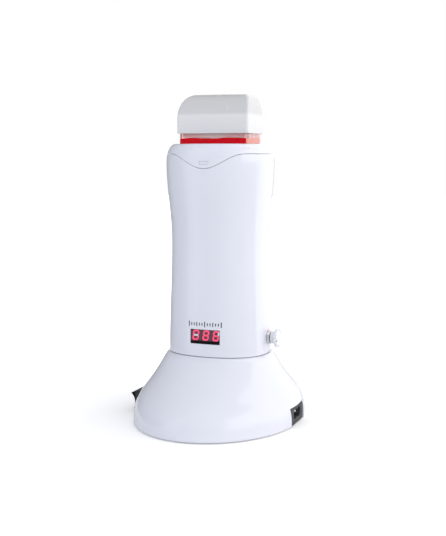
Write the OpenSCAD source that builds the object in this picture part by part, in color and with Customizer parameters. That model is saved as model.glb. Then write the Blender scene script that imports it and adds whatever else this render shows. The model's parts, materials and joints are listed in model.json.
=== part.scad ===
// Roll-on wax heater: an upright handset that warms a wax cartridge, standing in an oval charging base.
// X runs to the right of the display, Y to the back, Z up. The origin is on the table under the handset.

/* [Handset] */
// Height of the body, from its seam with the base to the flat top that the cartridge comes out of
handset_h = 155.3; // [148:0.1:172]
// Half width of the body at its waist
waist_a = 36.4; // [35.6:0.1:38]
// Half depth of the body at its waist
waist_b = 30.5; // [29.5:0.1:34]
// Height of the waist above the body's lower edge
waist_h = 82.8; // [73:0.1:98]
// Half width of the body at its shoulder
shoulder_a = 40.1; // [39:0.1:43]
// Half depth of the body at its shoulder
shoulder_b = 34; // [32:0.1:38]
// Half width of the body at its heel, where it meets the base
heel_a = 38.4; // [37.5:0.1:40]
// Half depth of the body at its heel
heel_b = 32.3; // [31.5:0.1:35]
// Squareness of the body's section, where 2 is an ellipse
body_n = 2.3; // [2:0.05:2.8]
// Wall of the body shells
shell_wall = 2; // [1.6:0.1:2.4]

/* [Top cover] */
// Height of the rounded crown, from the shoulder to the flat top
crown_h = 13.5; // [10:0.5:16]
// How far the rounded crown draws in
crown_in = 6.5; // [4:0.5:8]
// How far the seam at the sides and back lies below the flat top
seam_down = 7.3; // [6.5:0.1:9]
// How far the front tongue dips below the seam
tongue_drop = 10.6; // [6:0.2:12]
// Half width of the front tongue
tongue_w = 30; // [22:1:34]
// Thickness of the top cover round the opening
cover_t = 4.5; // [3:0.5:6]

/* [Cartridge] */
// Half width of the wax cartridge
cartridge_a = 27.15; // [25:0.05:27.5]
// Half depth of the wax cartridge
cartridge_b = 14.95; // [13:0.05:15.5]
// Squareness of the cartridge's section
cartridge_n = 12; // [8:1:16]
// Wall of the cartridge
cartridge_wall = 1.4; // [1:0.1:2]
// How far the cartridge stands out of the top
cartridge_out = 7.5; // [5:0.5:12]
// Depth of the heated well that holds the cartridge
well_depth = 82.8; // [75:0.1:84]
// Height of the empty neck above the wax
neck_h = 3; // [2:0.5:6]
// Running clearance between the cartridge and its well
well_gap = 0.4; // [0.3:0.05:0.6]
// Wall of the aluminium well
well_wall = 1; // [0.8:0.1:1.2]

/* [Roller and cap] */
// Radius of the wax roller
roller_r = 10.5; // [8:0.1:10.8]
// Half length of the wax roller
roller_l = 20.8; // [16:0.1:21]
// Radius of the roller's stub axles
axle_r = 2; // [1.5:0.1:3]
// Running clearance of the stub axles
axle_gap = 0.06; // [0.03:0.01:0.1]
// Half width of the cap
cap_a = 27.9; // [27.8:0.1:29]
// Half depth of the cap
cap_b = 17.2; // [17:0.1:19]
// Height of the cap
cap_h = 29; // [28.4:0.2:32]
// Height of the cap's straight sides
cap_straight = 11; // [9:0.5:13]
// Wall of the cap
cap_wall = 1.3; // [1:0.1:1.6]

/* [Display and dial] */
// Width of the display window
window_w = 23.2; // [22.8:0.1:26]
// Height of the display window
window_h = 10.8; // [10.4:0.1:13]
// Height of the window's centre above the body's lower edge
window_up = 14.8; // [13.8:0.1:19.8]
// Radius of the temperature knob
knob_r = 7.25; // [6.5:0.05:8]
// Thickness of the knob's disc
knob_t = 2.8; // [2:0.1:4]
// Height of the knob's axis above the body's lower edge
knob_up = 11.8; // [11.8:0.1:15.8]
// Radius of the dial spindle
spindle_r = 3; // [2.5:0.1:3.2]

/* [Base] */
// Half width of the base at its rim
rim_a = 63.1; // [60:0.1:68]
// Half depth of the base at its rim
rim_b = 79; // [75:0.1:84]
// Height of the base, up to the handset's seam
base_h = 51.8; // [51:0.1:52]
// Wall of the base shell
base_wall = 2.4; // [2:0.1:2.8]
// Depth of the dock that the handset stands in
dock_depth = 13.8; // [12:0.1:15]
// Clearance round the handset in the dock
dock_gap = 0.4; // [0.3:0.05:0.6]
// Height of the rim above the table
rim_lift = 0.8; // [0.5:0.1:1.2]
// Thickness of the bottom plate
plate_t = 2; // [1.6:0.1:2.4]
// Radius of the rubber feet
foot_r = 5; // [4:0.5:7]

/* [Rocker switch and inlet] */
// Width of the power rocker
rocker_w = 24.4; // [20:0.2:26]
// Half height of the rocker's opening
rocker_open = 7.1; // [6.9:0.1:7.3]
// How far the rocker tips from middle to either side
rocker_tilt = 10; // [8:0.5:11]
// Width of the mains inlet's notch in the rim
notch_w = 30.4; // [28:0.2:32]
// Height of the notch's top edge
notch_z = 14.6; // [14.2:0.1:16]
// Spacing of the two inlet pins
pin_pitch = 8.6; // [8:0.1:9]
// Radius of an inlet pin
pin_r = 1.2; // [1.1:0.05:1.3]

/* [Hidden] */
$fn = 48;
cols = 48;
eps = 1; // overshoot of a cut
fit = 0.15; // clearance of fixed pieces that slide into each other
touch = 0.1; // gap between fixed pieces that meet edge to edge

// Heights up the body
dock_floor = base_h - dock_depth;
shell_bottom = base_h + 0.4;
handset_top = shell_bottom + handset_h;
waist_z = shell_bottom + waist_h;
window_z = shell_bottom + window_up;
knob_z = shell_bottom + knob_up;
shoulder_z = handset_top - crown_h;
seam_z = handset_top - seam_down;
cover_under = handset_top - cover_t;
well_bottom = cover_under + cover_t - touch - well_depth - well_wall;
cartridge_bottom = well_bottom + well_wall + well_gap;
cartridge_top = handset_top + cartridge_out;
opening_gap = well_gap + 0.25;

// Sizes of the skirt under the body and of the dock round it
skirt_in = 2.3;
skirt_a = heel_a - skirt_in;
skirt_b = heel_b - skirt_in;
skirt_wall = 1.8;
cup_wall = 1.2;
cup_a = skirt_a + dock_gap + cup_wall;
cup_b = skirt_b + dock_gap + cup_wall;
lip_w = 1.1;
lip_a = cup_a + touch + lip_w;
lip_b = cup_b + touch + lip_w;

// Heights in the base
plate_z = 2 * rim_lift;
plate_top = plate_z + plate_t;

// ---- Curves ------------------------------------------------------------------------------------
function lerp(a, b, t) = a + (b - a) * t;
// Smooth step from 0 to 1
function ease(t) = (1 - cos(180 * max(0, min(1, t)))) / 2;
function signed_pow(v, p) = sign(v) * pow(abs(v), p);
// Point at angle t on a rounded oval: 2 is an ellipse, and a higher n is squarer
function oval_point(a, b, n, t) = [a * signed_pow(cos(t), 2 / n), b * signed_pow(sin(t), 2 / n)];
function oval(a, b, n) = [for (j = [0:cols - 1]) oval_point(a, b, n, 360 * j / cols)];
function ring(a, b, n, z, y = 0) = [for (p = oval(a, b, n)) [p[0], p[1] + y, z]];
function reversed(list) = [for (i = [len(list) - 1:-1:0]) list[i]];
function quad(a, b, c, d) = [[a, b, c], [a, c, d]];

// Half width and half depth of the handset's body at height z, narrowest at the waist
function body_share(z) = z > waist_z ? ease((z - waist_z) / (shoulder_z - waist_z))
                                     : ease((waist_z - z) / (waist_z - shell_bottom));
// Above the shoulder the crown draws in along a quarter of an ellipse
function crown_inset(z) =
    let (up = min(1, max(0, (z - shoulder_z) / crown_h))) crown_in * (1 - sqrt(1 - up * up));
function body_a(z) = lerp(waist_a, z > waist_z ? shoulder_a : heel_a, body_share(z)) - crown_inset(z);
function body_b(z) = lerp(waist_b, z > waist_z ? shoulder_b : heel_b, body_share(z)) - crown_inset(z);
function body_point(z, t, inset) =
    let (p = oval_point(body_a(z) - inset, body_b(z) - inset, body_n, t)) [p[0], p[1], z];

// Depth of the body's outer face at x and z
function face_y(x, z) = body_b(z) * pow(1 - pow(x / body_a(z), body_n), 1 / body_n);

// Height of the seam under the top cover: level, with a tongue that dips at the front
function seam_at(t) =
    let (p = oval_point(shoulder_a, shoulder_b, body_n, t))
    p[1] < 0 && abs(p[0]) < tongue_w ? seam_z - tongue_drop * (1 + cos(180 * p[0] / tongue_w)) / 2 : seam_z;

// The base's flare, as [share, z]: from 0 at the dock's lip, over a hollow neck and a full foot, to 1 at the rim
rim_edge_z = 4;
flare_frame = [[0, base_h], [0.18, base_h - 2], [0.4, base_h - 27.6], [1, base_h - 24.1], [1, rim_edge_z]];
// Point at t on the smooth curve that a frame of points pulls on
function bend(points, t) = len(points) == 1 ? points[0]
    : bend([for (i = [0:len(points) - 2]) lerp(points[i], points[i + 1], t)], t);
function flare(t) = bend(flare_frame, t);
// Section of the bell at t. Its inner faces are drawn in all the way and lowered near the neck
function base_ring(t, inset) =
    let (f = flare(t))
    ring(lerp(lip_a, rim_a, f[0]) - inset, lerp(lip_b, rim_b, f[0]) - inset, lerp(body_n, 2, f[0]),
        f[1] - inset * (1 - t));

// ---- Surfaces ----------------------------------------------------------------------------------
// Closed skin over rings: a loop of rings makes a hollow wall, and an open run is closed at both ends
module skin(rows, loop = false) {
    nr = len(rows);
    nc = len(rows[0]);
    sides = [for (i = [0:nr - (loop ? 1 : 2)], j = [0:nc - 1])
        let (up = ((i + 1) % nr) * nc, next = (j + 1) % nc)
        each quad(i * nc + j, up + j, up + next, i * nc + next)];
    ends = loop ? [] : [[for (j = [0:nc - 1]) j], [for (j = [nc - 1:-1:0]) (nr - 1) * nc + j]];
    polyhedron(points = [for (r = rows) each r], faces = concat(sides, ends));
}

// Half of a hollow wall, between matching outer and inner rows that stop at the parting plane
module half_wall(outer, inner) {
    rows = concat(outer, reversed(inner));
    nr = len(rows);
    nc = len(rows[0]);
    last = nc - 1;
    skins = [for (i = [0:nr - 1], j = [0:nc - 2])
        let (up = ((i + 1) % nr) * nc)
        each quad(i * nc + j, up + j, up + j + 1, i * nc + j + 1)];
    cheeks = [for (m = [0:len(outer) - 2])
        let (o = m * nc, i = (nr - 1 - m) * nc)
        each concat(quad(o + nc, o, i, i - nc), quad(o + last, o + nc + last, i - nc + last, i + last))];
    polyhedron(points = [for (r = rows) each r], faces = concat(skins, cheeks));
}

module oval_prism(a, b, n, z0, z1) {
    translate([0, 0, z0])
        linear_extrude(z1 - z0)
            polygon(oval(a, b, n));
}

module oval_tube(a, b, n, wall, z0, z1) {
    difference() {
        oval_prism(a, b, n, z0, z1);
        oval_prism(a - wall, b - wall, n, z0 - eps, z1 + eps);
    }
}

// Box between two corners
module block(low, high) {
    translate(low)
        cube(high - low);
}

// Round bar along X or Y, from one coordinate to another
module bar_x(r, x0, x1, y = 0, z = 0) {
    translate([x0, y, z])
        rotate([0, 90, 0])
            cylinder(h = x1 - x0, r = r);
}

module bar_y(r, y0, y1, x = 0, z = 0) {
    translate([x, y0, z])
        rotate([-90, 0, 0])
            cylinder(h = y1 - y0, r = r);
}

module rounded_rect(w, h, r) {
    square([w - 2 * r, h], center = true);
    square([w, h - 2 * r], center = true);
    for (x = [-1, 1], y = [-1, 1])
        translate([x * (w / 2 - r), y * (h / 2 - r)])
            circle(r = r);
}

// Plate with rounded corners that faces along X
module plate_x(w, h, r, x0, x1, z) {
    translate([x0, 0, z])
        rotate([90, 0, 90])
            linear_extrude(x1 - x0)
                rounded_rect(w, h, r);
}

// ---- Base --------------------------------------------------------------------------------------
flare_steps = [for (i = [0:12]) i / 12];
boss_at = [42, 42];
boss_r = 3.6;
screw_r = 1.25;
screw_l = 11;
screw_deep = 12;
screw_hole = screw_r + 0.05;
screw_head_r = 3;
screw_head_h = 1.6;
pillar_y = 24;
pillar_r = 3.6;
rocker_z = 10;
side_gap = 0.3;
switch_side = 1.5;
frame_side = 1.2;
frame_half_h = 7.8;
frame_back = 6;
switch_half_w = rocker_w / 2 + side_gap + switch_side;
frame_half_w = switch_half_w + frame_side;
switch_half_h = 6.1;

module bell_wall() {
    outer = concat(
        [ring(rim_a - 0.9, rim_b - 0.9, 2, rim_lift), ring(rim_a - 0.1, rim_b - 0.1, 2, rim_lift + 1.2)],
        [for (t = reversed(flare_steps)) base_ring(t, 0)]
    );
    lining = [for (t = flare_steps) if (t > 0.2) base_ring(t, base_wall)];
    opening = [
        ring(cup_a + touch, cup_b + touch, body_n, base_h),
        ring(cup_a + touch, cup_b + touch, body_n, base_h - 4)
    ];
    foot = [ring(rim_a - base_wall, rim_b - base_wall, 2, rim_lift)];
    skin(concat(outer, opening, lining, foot), loop = true);
}

// Inside of the bell, drawn in from its outer face
module bell_core(inset) {
    skin([for (t = reversed(flare_steps)) if (t > 0.2) base_ring(t, inset)]);
}

module base_shell() color("white") {
    difference() {
        union() {
            bell_wall();
            intersection() {
                for (x = [-1, 1], y = [-1, 1])
                    translate([x * boss_at[0], y * boss_at[1], plate_top])
                        cylinder(h = base_h / 2, r = boss_r);
                bell_core(base_wall / 2);
            }
        }
        for (x = [-1, 1], y = [-1, 1])
            translate([x * boss_at[0], y * boss_at[1], 0])
                cylinder(h = plate_top + screw_deep, r = screw_hole);
        block([rim_a - 8, -notch_w / 2, -eps], [rim_a + eps, notch_w / 2, notch_z]);
        block([-rim_a - eps, -frame_half_w - touch, rocker_z - frame_half_h - touch],
            [-rim_a + frame_back + eps, frame_half_w + touch, rocker_z + frame_half_h + touch]);
    }
}

module plate_screw_spots() {
    for (x = [-1, 1], y = [-1, 1])
        translate([x * boss_at[0], y * boss_at[1], 0])
            children();
    for (y = [-1, 1])
        translate([0, y * pillar_y, 0])
            children();
}

foot_at = [33, 52];

module foot_spots() {
    for (x = [-1, 1], y = [-1, 1])
        translate([x * foot_at[0], y * foot_at[1], 0])
            children();
}

module base_plate() color("gainsboro") {
    edge = base_wall + 0.4;
    vents = 5;
    difference() {
        oval_prism(rim_a - edge, rim_b - edge, 2, plate_z, plate_top);
        plate_screw_spots() {
            translate([0, 0, plate_z])
                cylinder(h = screw_head_h, r1 = screw_head_r, r2 = screw_r + 0.2);
            cylinder(h = plate_top + eps, r = screw_r + 0.2);
        }
        for (i = [0:vents - 1])
            translate([-12, (i - (vents - 1) / 2) * 6 - 1, plate_z - eps])
                cube([24, 2, plate_t + 2 * eps]);
        foot_spots()
            translate([0, 0, plate_z - eps])
                cylinder(h = eps + 0.6, r = foot_r + touch);
        for (x = [-1, 1])
            translate([x * rim_a, 0, plate_top])
                cube([13, notch_w + 3, 2 * plate_top], center = true);
    }
}

module rubber_feet() color("dimgray") {
    foot_spots()
        rotate_extrude()
            polygon([[0, 0], [foot_r - 0.8, 0], [foot_r, 0.8],
                [foot_r, plate_z + 0.6], [0, plate_z + 0.6]]);
}

module base_screws() color("silver") {
    plate_screw_spots() {
        translate([0, 0, plate_z + 0.1])
            cylinder(h = screw_head_h - 0.1, r1 = screw_head_r - 0.15, r2 = screw_r);
        translate([0, 0, plate_z + screw_head_h])
            cylinder(h = screw_l, r = screw_r);
    }
}

flange_t = 0.3;
contact_pitch = 8;
contact_r = 1.5;
contact_below = 10;
contact_above = 7;
block_w = 26;
block_d = 14;

module dock_cup() color("whitesmoke") {
    f = flare(flange_t);
    a = lerp(lip_a, rim_a, f[0]) - base_wall - 0.4;
    b = lerp(lip_b, rim_b, f[0]) - base_wall - 0.4;
    difference() {
        union() {
            oval_prism(cup_a, cup_b, body_n, dock_floor - 2, base_h - 0.4);
            oval_prism(a, b, lerp(body_n, 2, f[0]), f[1] - base_wall - 1.6, f[1] - base_wall);
            for (y = [-1, 1])
                translate([0, y * pillar_y, plate_top])
                    cylinder(h = dock_floor - 1 - plate_top, r = pillar_r);
        }
        oval_prism(cup_a - cup_wall, cup_b - cup_wall, body_n, dock_floor, base_h);
        block([-block_w / 2 - touch, -block_d / 2 - touch, dock_floor - 2 - eps],
            [block_w / 2 + touch, block_d / 2 + touch, dock_floor + eps]);
        for (y = [-1, 1])
            translate([0, y * pillar_y, plate_top - eps])
                cylinder(h = screw_deep + eps, r = screw_hole);
    }
}

module contact_spots() {
    for (i = [-1:1])
        translate([i * contact_pitch, 0, 0])
            children();
}

module contact_block() color("black") {
    difference() {
        union() {
            block([-block_w / 2, -block_d / 2, dock_floor - 6], [block_w / 2, block_d / 2, dock_floor]);
            block([-block_w / 2 - 2, -block_d / 2 - 2, dock_floor - 6],
                [block_w / 2 + 2, block_d / 2 + 2, dock_floor - 2]);
        }
        contact_spots()
            translate([0, 0, dock_floor - 6 - eps])
                cylinder(h = 6 + 2 * eps, r = contact_r + 0.02);
    }
}

module contact_pins() color("goldenrod") {
    contact_spots() {
        translate([0, 0, dock_floor - contact_below])
            cylinder(h = contact_below + contact_above, r = contact_r);
        translate([0, 0, dock_floor + contact_above])
            sphere(r = contact_r);
    }
}

inlet_x = 61.2;
inlet_z = 8.4;
inlet_flange = 1.8;
recess_depth = 12.5;
recess_r = 3.8;
inlet_back = 45;

module eight_hole(r) {
    for (y = [-1, 1])
        translate([y * pin_pitch / 2, 0])
            circle(r = r);
    square([pin_pitch, 2 * r * 0.8], center = true);
}

module power_inlet() color("black") {
    difference() {
        union() {
            translate([0, 0, -0.6])
                plate_x(notch_w - 0.8, notch_z - rim_lift - 0.8, 2.5,
                    inlet_x - inlet_flange, inlet_x, inlet_z - 0.3);
            block([inlet_back, -11.4, plate_top], [inlet_x - inlet_flange, 11.4, inlet_z + recess_r + 1]);
        }
        translate([inlet_x - recess_depth, 0, inlet_z])
            rotate([90, 0, 90])
                linear_extrude(recess_depth + eps)
                    eight_hole(recess_r);
        for (y = [-1, 1])
            bar_x(pin_r + 0.02, inlet_back - eps, inlet_x, y * pin_pitch / 2, inlet_z);
    }
}

module inlet_pins() color("silver") {
    for (y = [-1, 1]) {
        bar_x(pin_r, inlet_back - 5, inlet_x - recess_depth + 9, y * pin_pitch / 2, inlet_z);
        translate([inlet_x - recess_depth + 9, y * pin_pitch / 2, inlet_z])
            sphere(r = pin_r);
    }
}

bezel_t = 1.8;
frame_x = rim_a + 0.1;
switch_back = 47;
blade_in = 4.9;
rocker_x = frame_x + 0.3;
rocker_pin_r = 1;
rocker_pin_l = 1.1;

module switch_body() color("black") {
    difference() {
        union() {
            plate_x(2 * frame_half_w, 2 * frame_half_h, 0.8,
                -frame_x - bezel_t, -frame_x + frame_back, rocker_z);
            block([-frame_x, -switch_half_w, rocker_z - switch_half_h],
                [-switch_back, switch_half_w, rocker_z + switch_half_h]);
        }
        block([-frame_x - bezel_t - eps, -rocker_w / 2 - side_gap, rocker_z - rocker_open],
            [-frame_x, rocker_w / 2 + side_gap, rocker_z + rocker_open]);
        block([-frame_x - eps, -rocker_w / 2 - side_gap, rocker_z - switch_half_h + 0.9],
            [-frame_x + 7, rocker_w / 2 + side_gap, rocker_z + switch_half_h - 0.9]);
        for (y = [-1, 1])
            block([-switch_back - blade_in - 0.1, y * 6 - 0.45, rocker_z - 2.45],
                [-switch_back + eps, y * 6 + 0.45, rocker_z + 2.45]);
        bar_y(rocker_pin_r + 0.06, -rocker_w / 2 - 1.3, rocker_w / 2 + 1.3, -rocker_x, rocker_z);
    }
}

module switch_blades() color("silver") {
    for (y = [-1, 1])
        block([-switch_back - blade_in, y * 6 - 0.4, rocker_z - 2.4],
            [-switch_back + 7, y * 6 + 0.4, rocker_z + 2.4]);
}

// The rocker's dished face, tipped so that its upper end stands out
module power_rocker() color("black") {
    tip = [5.8, 6.1];
    heel = [[1.5, 6.3], [1, 5.2], [-2.2, 2.4]];
    dish_r = 9.5;
    half = concat([tip], heel);
    outline = concat(half, [for (p = reversed(half)) [p[0], -p[1]]]);
    translate([-rocker_x, 0, rocker_z])
        rotate([0, -rocker_tilt, 0]) {
            difference() {
                rotate([90, 0, 0])
                    translate([0, 0, -rocker_w / 2])
                        linear_extrude(rocker_w)
                            polygon([for (p = outline) [-p[0], p[1]]]);
                bar_y(dish_r, -rocker_w, rocker_w, -tip[0] - sqrt(dish_r * dish_r - tip[1] * tip[1]), 0);
            }
            bar_y(rocker_pin_r, -rocker_w / 2 - rocker_pin_l, rocker_w / 2 + rocker_pin_l);
        }
}

// ---- Handset shells ----------------------------------------------------------------------------
body_levels = [0, 0.09, 0.18, 0.27, 0.36, 0.45, 0.54, 0.63, 0.72, 0.8, 0.86, 0.9, 0.94, 0.97, 1];
post_x = 26;
tray_z = well_bottom - 2.5;
tray_t = 4;
post_z = tray_z - 13.1;
post_r = 3;
post_sink = 0.7; // how far a post's end stays under the body's outer face
post_end = face_y(post_x + post_r, post_z) - post_sink;
shell_hole_r = 1.3;
head_seat = 14;
head_hole_r = 2.3;
rear_screw_z = shell_bottom + 3;
bushing_r = 3.5;
dial_face = body_a(knob_z) - shell_wall - 0.9;

// Rows of points up the body, between the parting planes at the angles from and to
function body_rows(from, to, inset) = [for (level = body_levels)
    [for (t = [from:360 / cols:to])
        body_point(lerp(shell_bottom, seam_at(t) - touch, level), t, inset)]];

// Half of the body: side is -1 for the front and 1 for the rear
module body_half(side) {
    from = side < 0 ? 180 : 0;
    half_wall(body_rows(from, from + 180, 0), body_rows(from, from + 180, shell_wall));
}

module post(side, x, z, r, inner, outer) {
    bar_y(r, side < 0 ? -outer : inner, side < 0 ? -inner : outer, x, z);
}

// Ledge on the shell's inside that the well's tray stands on
module tray_ledge(side) {
    y0 = body_b(tray_z) - shell_wall - 5;
    y1 = body_b(tray_z) - shell_wall / 2 - 0.6;
    block([-12, side < 0 ? -y1 : y0, tray_z - 3], [12, side < 0 ? -y0 : y1, tray_z]);
}

module_depth = 6.3;
display_face = body_b(window_z) - 0.9;
board_y = -display_face + module_depth;
board_t = 1.6;
board_w = 39;
board_z0 = shell_bottom + 6.4;
board_z1 = tray_z - 9.1;
board_post_x = 15;
board_post_r = 2.5;
board_posts_z = [board_z0 + 19.4, board_z1 - 8];

module front_shell() color("white") {
    difference() {
        union() {
            body_half(-1);
            for (x = [-1, 1])
                post(-1, x * post_x, post_z, post_r, touch / 2, post_end);
            for (x = [-1, 1], z = board_posts_z)
                post(-1, x * board_post_x, z, board_post_r, -board_y,
                    face_y(board_post_x + board_post_r, z) - post_sink);
            tray_ledge(-1);
        }
        for (x = [-1, 1])
            bar_y(shell_hole_r - 0.3, -14, eps, x * post_x, post_z);
        for (x = [-1, 1], z = board_posts_z)
            bar_y(0.9, board_y - 3.5, board_y + eps, x * board_post_x, z);
        block([-window_w / 2, -body_b(window_z) - eps, window_z - window_h / 2],
            [window_w / 2, board_y, window_z + window_h / 2]);
        bar_x(bushing_r + fit, dial_face, heel_a + eps, 0, knob_z);
    }
}

module rear_shell() color("white") {
    difference() {
        union() {
            body_half(1);
            for (x = [-1, 1])
                post(1, x * post_x, post_z, post_r, touch / 2, post_end);
            tray_ledge(1);
        }
        for (x = [-1, 1]) {
            bar_y(shell_hole_r, -eps, head_seat + eps, x * post_x, post_z);
            bar_y(head_hole_r, head_seat, heel_b, x * post_x, post_z);
        }
        bar_y(shell_hole_r, heel_b - shell_wall - eps, heel_b + eps, 0, rear_screw_z);
        bar_y(head_hole_r, heel_b - 1.1, heel_b + eps, 0, rear_screw_z);
        bar_x(bushing_r + fit, dial_face, heel_a + eps, 0, knob_z);
    }
}

spigot_drop = 18;
spigot_wall = 1.6;
lens_w = 7;
lens_h = 2.2;
lens_z = seam_z - 6.4;
lens_x = 0.2;
lens_face = body_b(lens_z) - 0.1;
lens_depth = 2.4;
lamp_r = 1;

// Moulded ring with a rounded crown, a rectangular opening and a skirt inside the shells
module top_cover() color("white") {
    angles = [for (j = [0:cols - 1]) 360 * j / cols];
    outside = [for (q = [0:10:90])
        [for (t = angles) body_point(lerp(seam_at(t) + touch, handset_top, sin(q)), t, 0)]];
    inside = shell_wall + fit;
    rows = concat(
        outside,
        [ring(cartridge_a + opening_gap, cartridge_b + opening_gap, cartridge_n, handset_top),
            ring(cartridge_a + opening_gap, cartridge_b + opening_gap, cartridge_n, cover_under),
            ring(shoulder_a - inside - spigot_wall, shoulder_b - inside - spigot_wall, body_n, cover_under),
            [for (t = angles) body_point(seam_z - spigot_drop, t, inside + spigot_wall)],
            [for (t = angles) body_point(seam_z - spigot_drop, t, inside)],
            [for (t = angles) body_point(seam_at(t) + touch, t, inside)]]
    );
    difference() {
        skin(rows, loop = true);
        block([lens_x - lens_w / 2 - 0.05, -lens_face - 2, lens_z - lens_h / 2 - 0.05],
            [lens_x + lens_w / 2 + 0.05, -lens_face + lens_depth + 0.05, lens_z + lens_h / 2 + 0.05]);
        bar_y(lamp_r + 0.1, -lens_face, -lens_face + 8, lens_x, lens_z);
    }
}

module indicator_lens() color("ghostwhite") {
    block([lens_x - lens_w / 2, -lens_face, lens_z - lens_h / 2],
        [lens_x + lens_w / 2, -lens_face + lens_depth, lens_z + lens_h / 2]);
}

module indicator_lamp() color("red") {
    bar_y(lamp_r, -lens_face + lens_depth + 0.1, -lens_face + 5, lens_x, lens_z);
}

module bottom_cap() color("whitesmoke") {
    inside = shell_wall + fit;
    spigot_top = shell_bottom + 5.3;
    spigot = 1.75;
    difference() {
        union() {
            oval_prism(skirt_a, skirt_b, body_n, dock_floor, shell_bottom);
            oval_prism(heel_a - inside - 0.2, heel_b - inside - 0.2, body_n, shell_bottom, spigot_top);
        }
        oval_prism(skirt_a - skirt_wall, skirt_b - skirt_wall, body_n, dock_floor + 2, shell_bottom + eps);
        difference() {
            oval_prism(heel_a - inside - spigot - 0.2, heel_b - inside - spigot - 0.2, body_n,
                shell_bottom, spigot_top + eps);
            bar_y(2.6, heel_b - inside - spigot - 4, heel_b, 0, rear_screw_z);
        }
        block([-block_w / 2 - 1, -block_d / 2 - 1, dock_floor - eps],
            [block_w / 2 + 1, block_d / 2 + 1, dock_floor + 2 + eps]);
        bar_y(shell_hole_r - 0.3, heel_b - inside - spigot - 5, heel_b, 0, rear_screw_z);
    }
}

socket_top = 12;

module socket_block() color("black") {
    low = dock_floor + 0.2;
    difference() {
        union() {
            block([-block_w / 2 - 0.9, -block_d / 2 - 0.9, low],
                [block_w / 2 + 0.9, block_d / 2 + 0.9, dock_floor + socket_top]);
            block([-block_w / 2 - 3, -block_d / 2 - 3, dock_floor + 2],
                [block_w / 2 + 3, block_d / 2 + 3, dock_floor + 4]);
        }
        contact_spots()
            translate([0, 0, low - eps])
                cylinder(h = socket_top + 2 * eps, r = contact_r + 0.92);
    }
}

module socket_sleeves() color("goldenrod") {
    contact_spots()
        difference() {
            translate([0, 0, dock_floor + 1])
                cylinder(h = socket_top, r = contact_r + 0.9);
            translate([0, 0, dock_floor])
                cylinder(h = socket_top - 1, r = contact_r + 0.15);
        }
}

// ---- Heating -----------------------------------------------------------------------------------
well_a = cartridge_a + well_gap + well_wall;
well_b = cartridge_b + well_gap + well_wall;
well_top = handset_top - cover_t - touch;
heater_z0 = well_bottom + 14.4;
heater_h = 48;
heater_w = 34;
heater_t = 2.4;
pad_t = 0.8;
press_t = 1;
clamp_x = 19.5;

module heat_well() color("silver") {
    difference() {
        union() {
            oval_prism(well_a, well_b, cartridge_n, well_bottom, well_top);
            oval_prism(well_a + 1.6, well_b + 1.6, cartridge_n, well_top - 1.2, well_top);
            clamp_spots()
                bar_y(1.8, well_b - 0.5, well_b + heater_t + pad_t);
        }
        oval_prism(well_a - well_wall, well_b - well_wall, cartridge_n,
            well_bottom + well_wall, well_top + eps);
        clamp_spots()
            bar_y(0.95, well_b + 0.4, well_b + heater_t + pad_t + eps);
    }
}

// The same piece at each clamping screw, front and rear
module clamp_spots() {
    for (side = [0, 180], x = [-1, 1], z = [heater_z0 + 8, heater_z0 + heater_h - 8])
        rotate([0, 0, side])
            translate([x * clamp_x, 0, z])
                children();
}

module both_faces() {
    for (side = [0, 180])
        rotate([0, 0, side])
            children();
}

module heater_plates() color("sienna") {
    both_faces()
        block([-heater_w / 2, well_b, heater_z0], [heater_w / 2, well_b + heater_t, heater_z0 + heater_h]);
}

module insulation_pads() color("wheat") {
    both_faces()
        block([-heater_w / 2, well_b + heater_t, heater_z0 - 1],
            [heater_w / 2, well_b + heater_t + pad_t, heater_z0 + heater_h + 1]);
}

module pressure_plates() color("lightsteelblue") {
    y0 = well_b + heater_t + pad_t;
    difference() {
        both_faces()
            block([-clamp_x - 2.5, y0, heater_z0 + 3],
                [clamp_x + 2.5, y0 + press_t, heater_z0 + heater_h - 3]);
        clamp_spots()
            bar_y(1.1, y0 - eps, y0 + press_t + eps);
        both_faces()
            block([-14, y0 - eps, heater_z0 + 14],
                [14, y0 + press_t + eps, heater_z0 + heater_h - 14]);
    }
}

module clamp_screws() color("gray") {
    y0 = well_b + heater_t + pad_t + press_t;
    clamp_spots() {
        bar_y(0.9, well_b + 0.5, y0);
        bar_y(1.9, y0, y0 + 1.3);
    }
}

module temperature_probe() color("darkorange") {
    bar_x(1.5, -5, 5, -well_b - 1.5, well_bottom + 8);
    bar_y(0.6, -well_b - 6, -well_b - 2.5, 0, well_bottom + 8);
}

// A round can with two flat tabs under it
cutout_cap_h = 4;
cutout_h = 9;
cutout_tab = 5;

module thermal_cutout() color("dimgray") {
    translate([0, 0, well_bottom - cutout_cap_h])
        cylinder(h = cutout_cap_h, r = 8);
    translate([0, 0, well_bottom - cutout_h])
        cylinder(h = cutout_h - cutout_cap_h, r = 6);
    for (x = [-1, 1])
        block([x * 4 - 1.5, -0.4, well_bottom - cutout_h - cutout_tab],
            [x * 4 + 1.5, 0.4, well_bottom - cutout_h]);
}

module well_tray() color("tan") {
    z1 = tray_z + tray_t;
    difference() {
        oval_prism(body_a(tray_z) - shell_wall - 0.5, body_b(tray_z) - shell_wall - 0.5, body_n,
            tray_z, z1);
        oval_prism(well_a + fit, well_b + fit, cartridge_n, well_bottom, z1 + eps);
        translate([0, 0, tray_z - eps])
            cylinder(h = tray_t + 2 * eps, r = 8.4);
    }
}

// ---- Electronics -------------------------------------------------------------------------------
module control_board() color("darkgreen") {
    difference() {
        block([-board_w / 2, board_y, board_z0], [board_w / 2, board_y + board_t, board_z1]);
        for (x = [-1, 1], z = board_posts_z)
            bar_y(1.1, board_y - eps, board_y + board_t + eps, x * board_post_x, z);
    }
}

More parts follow.
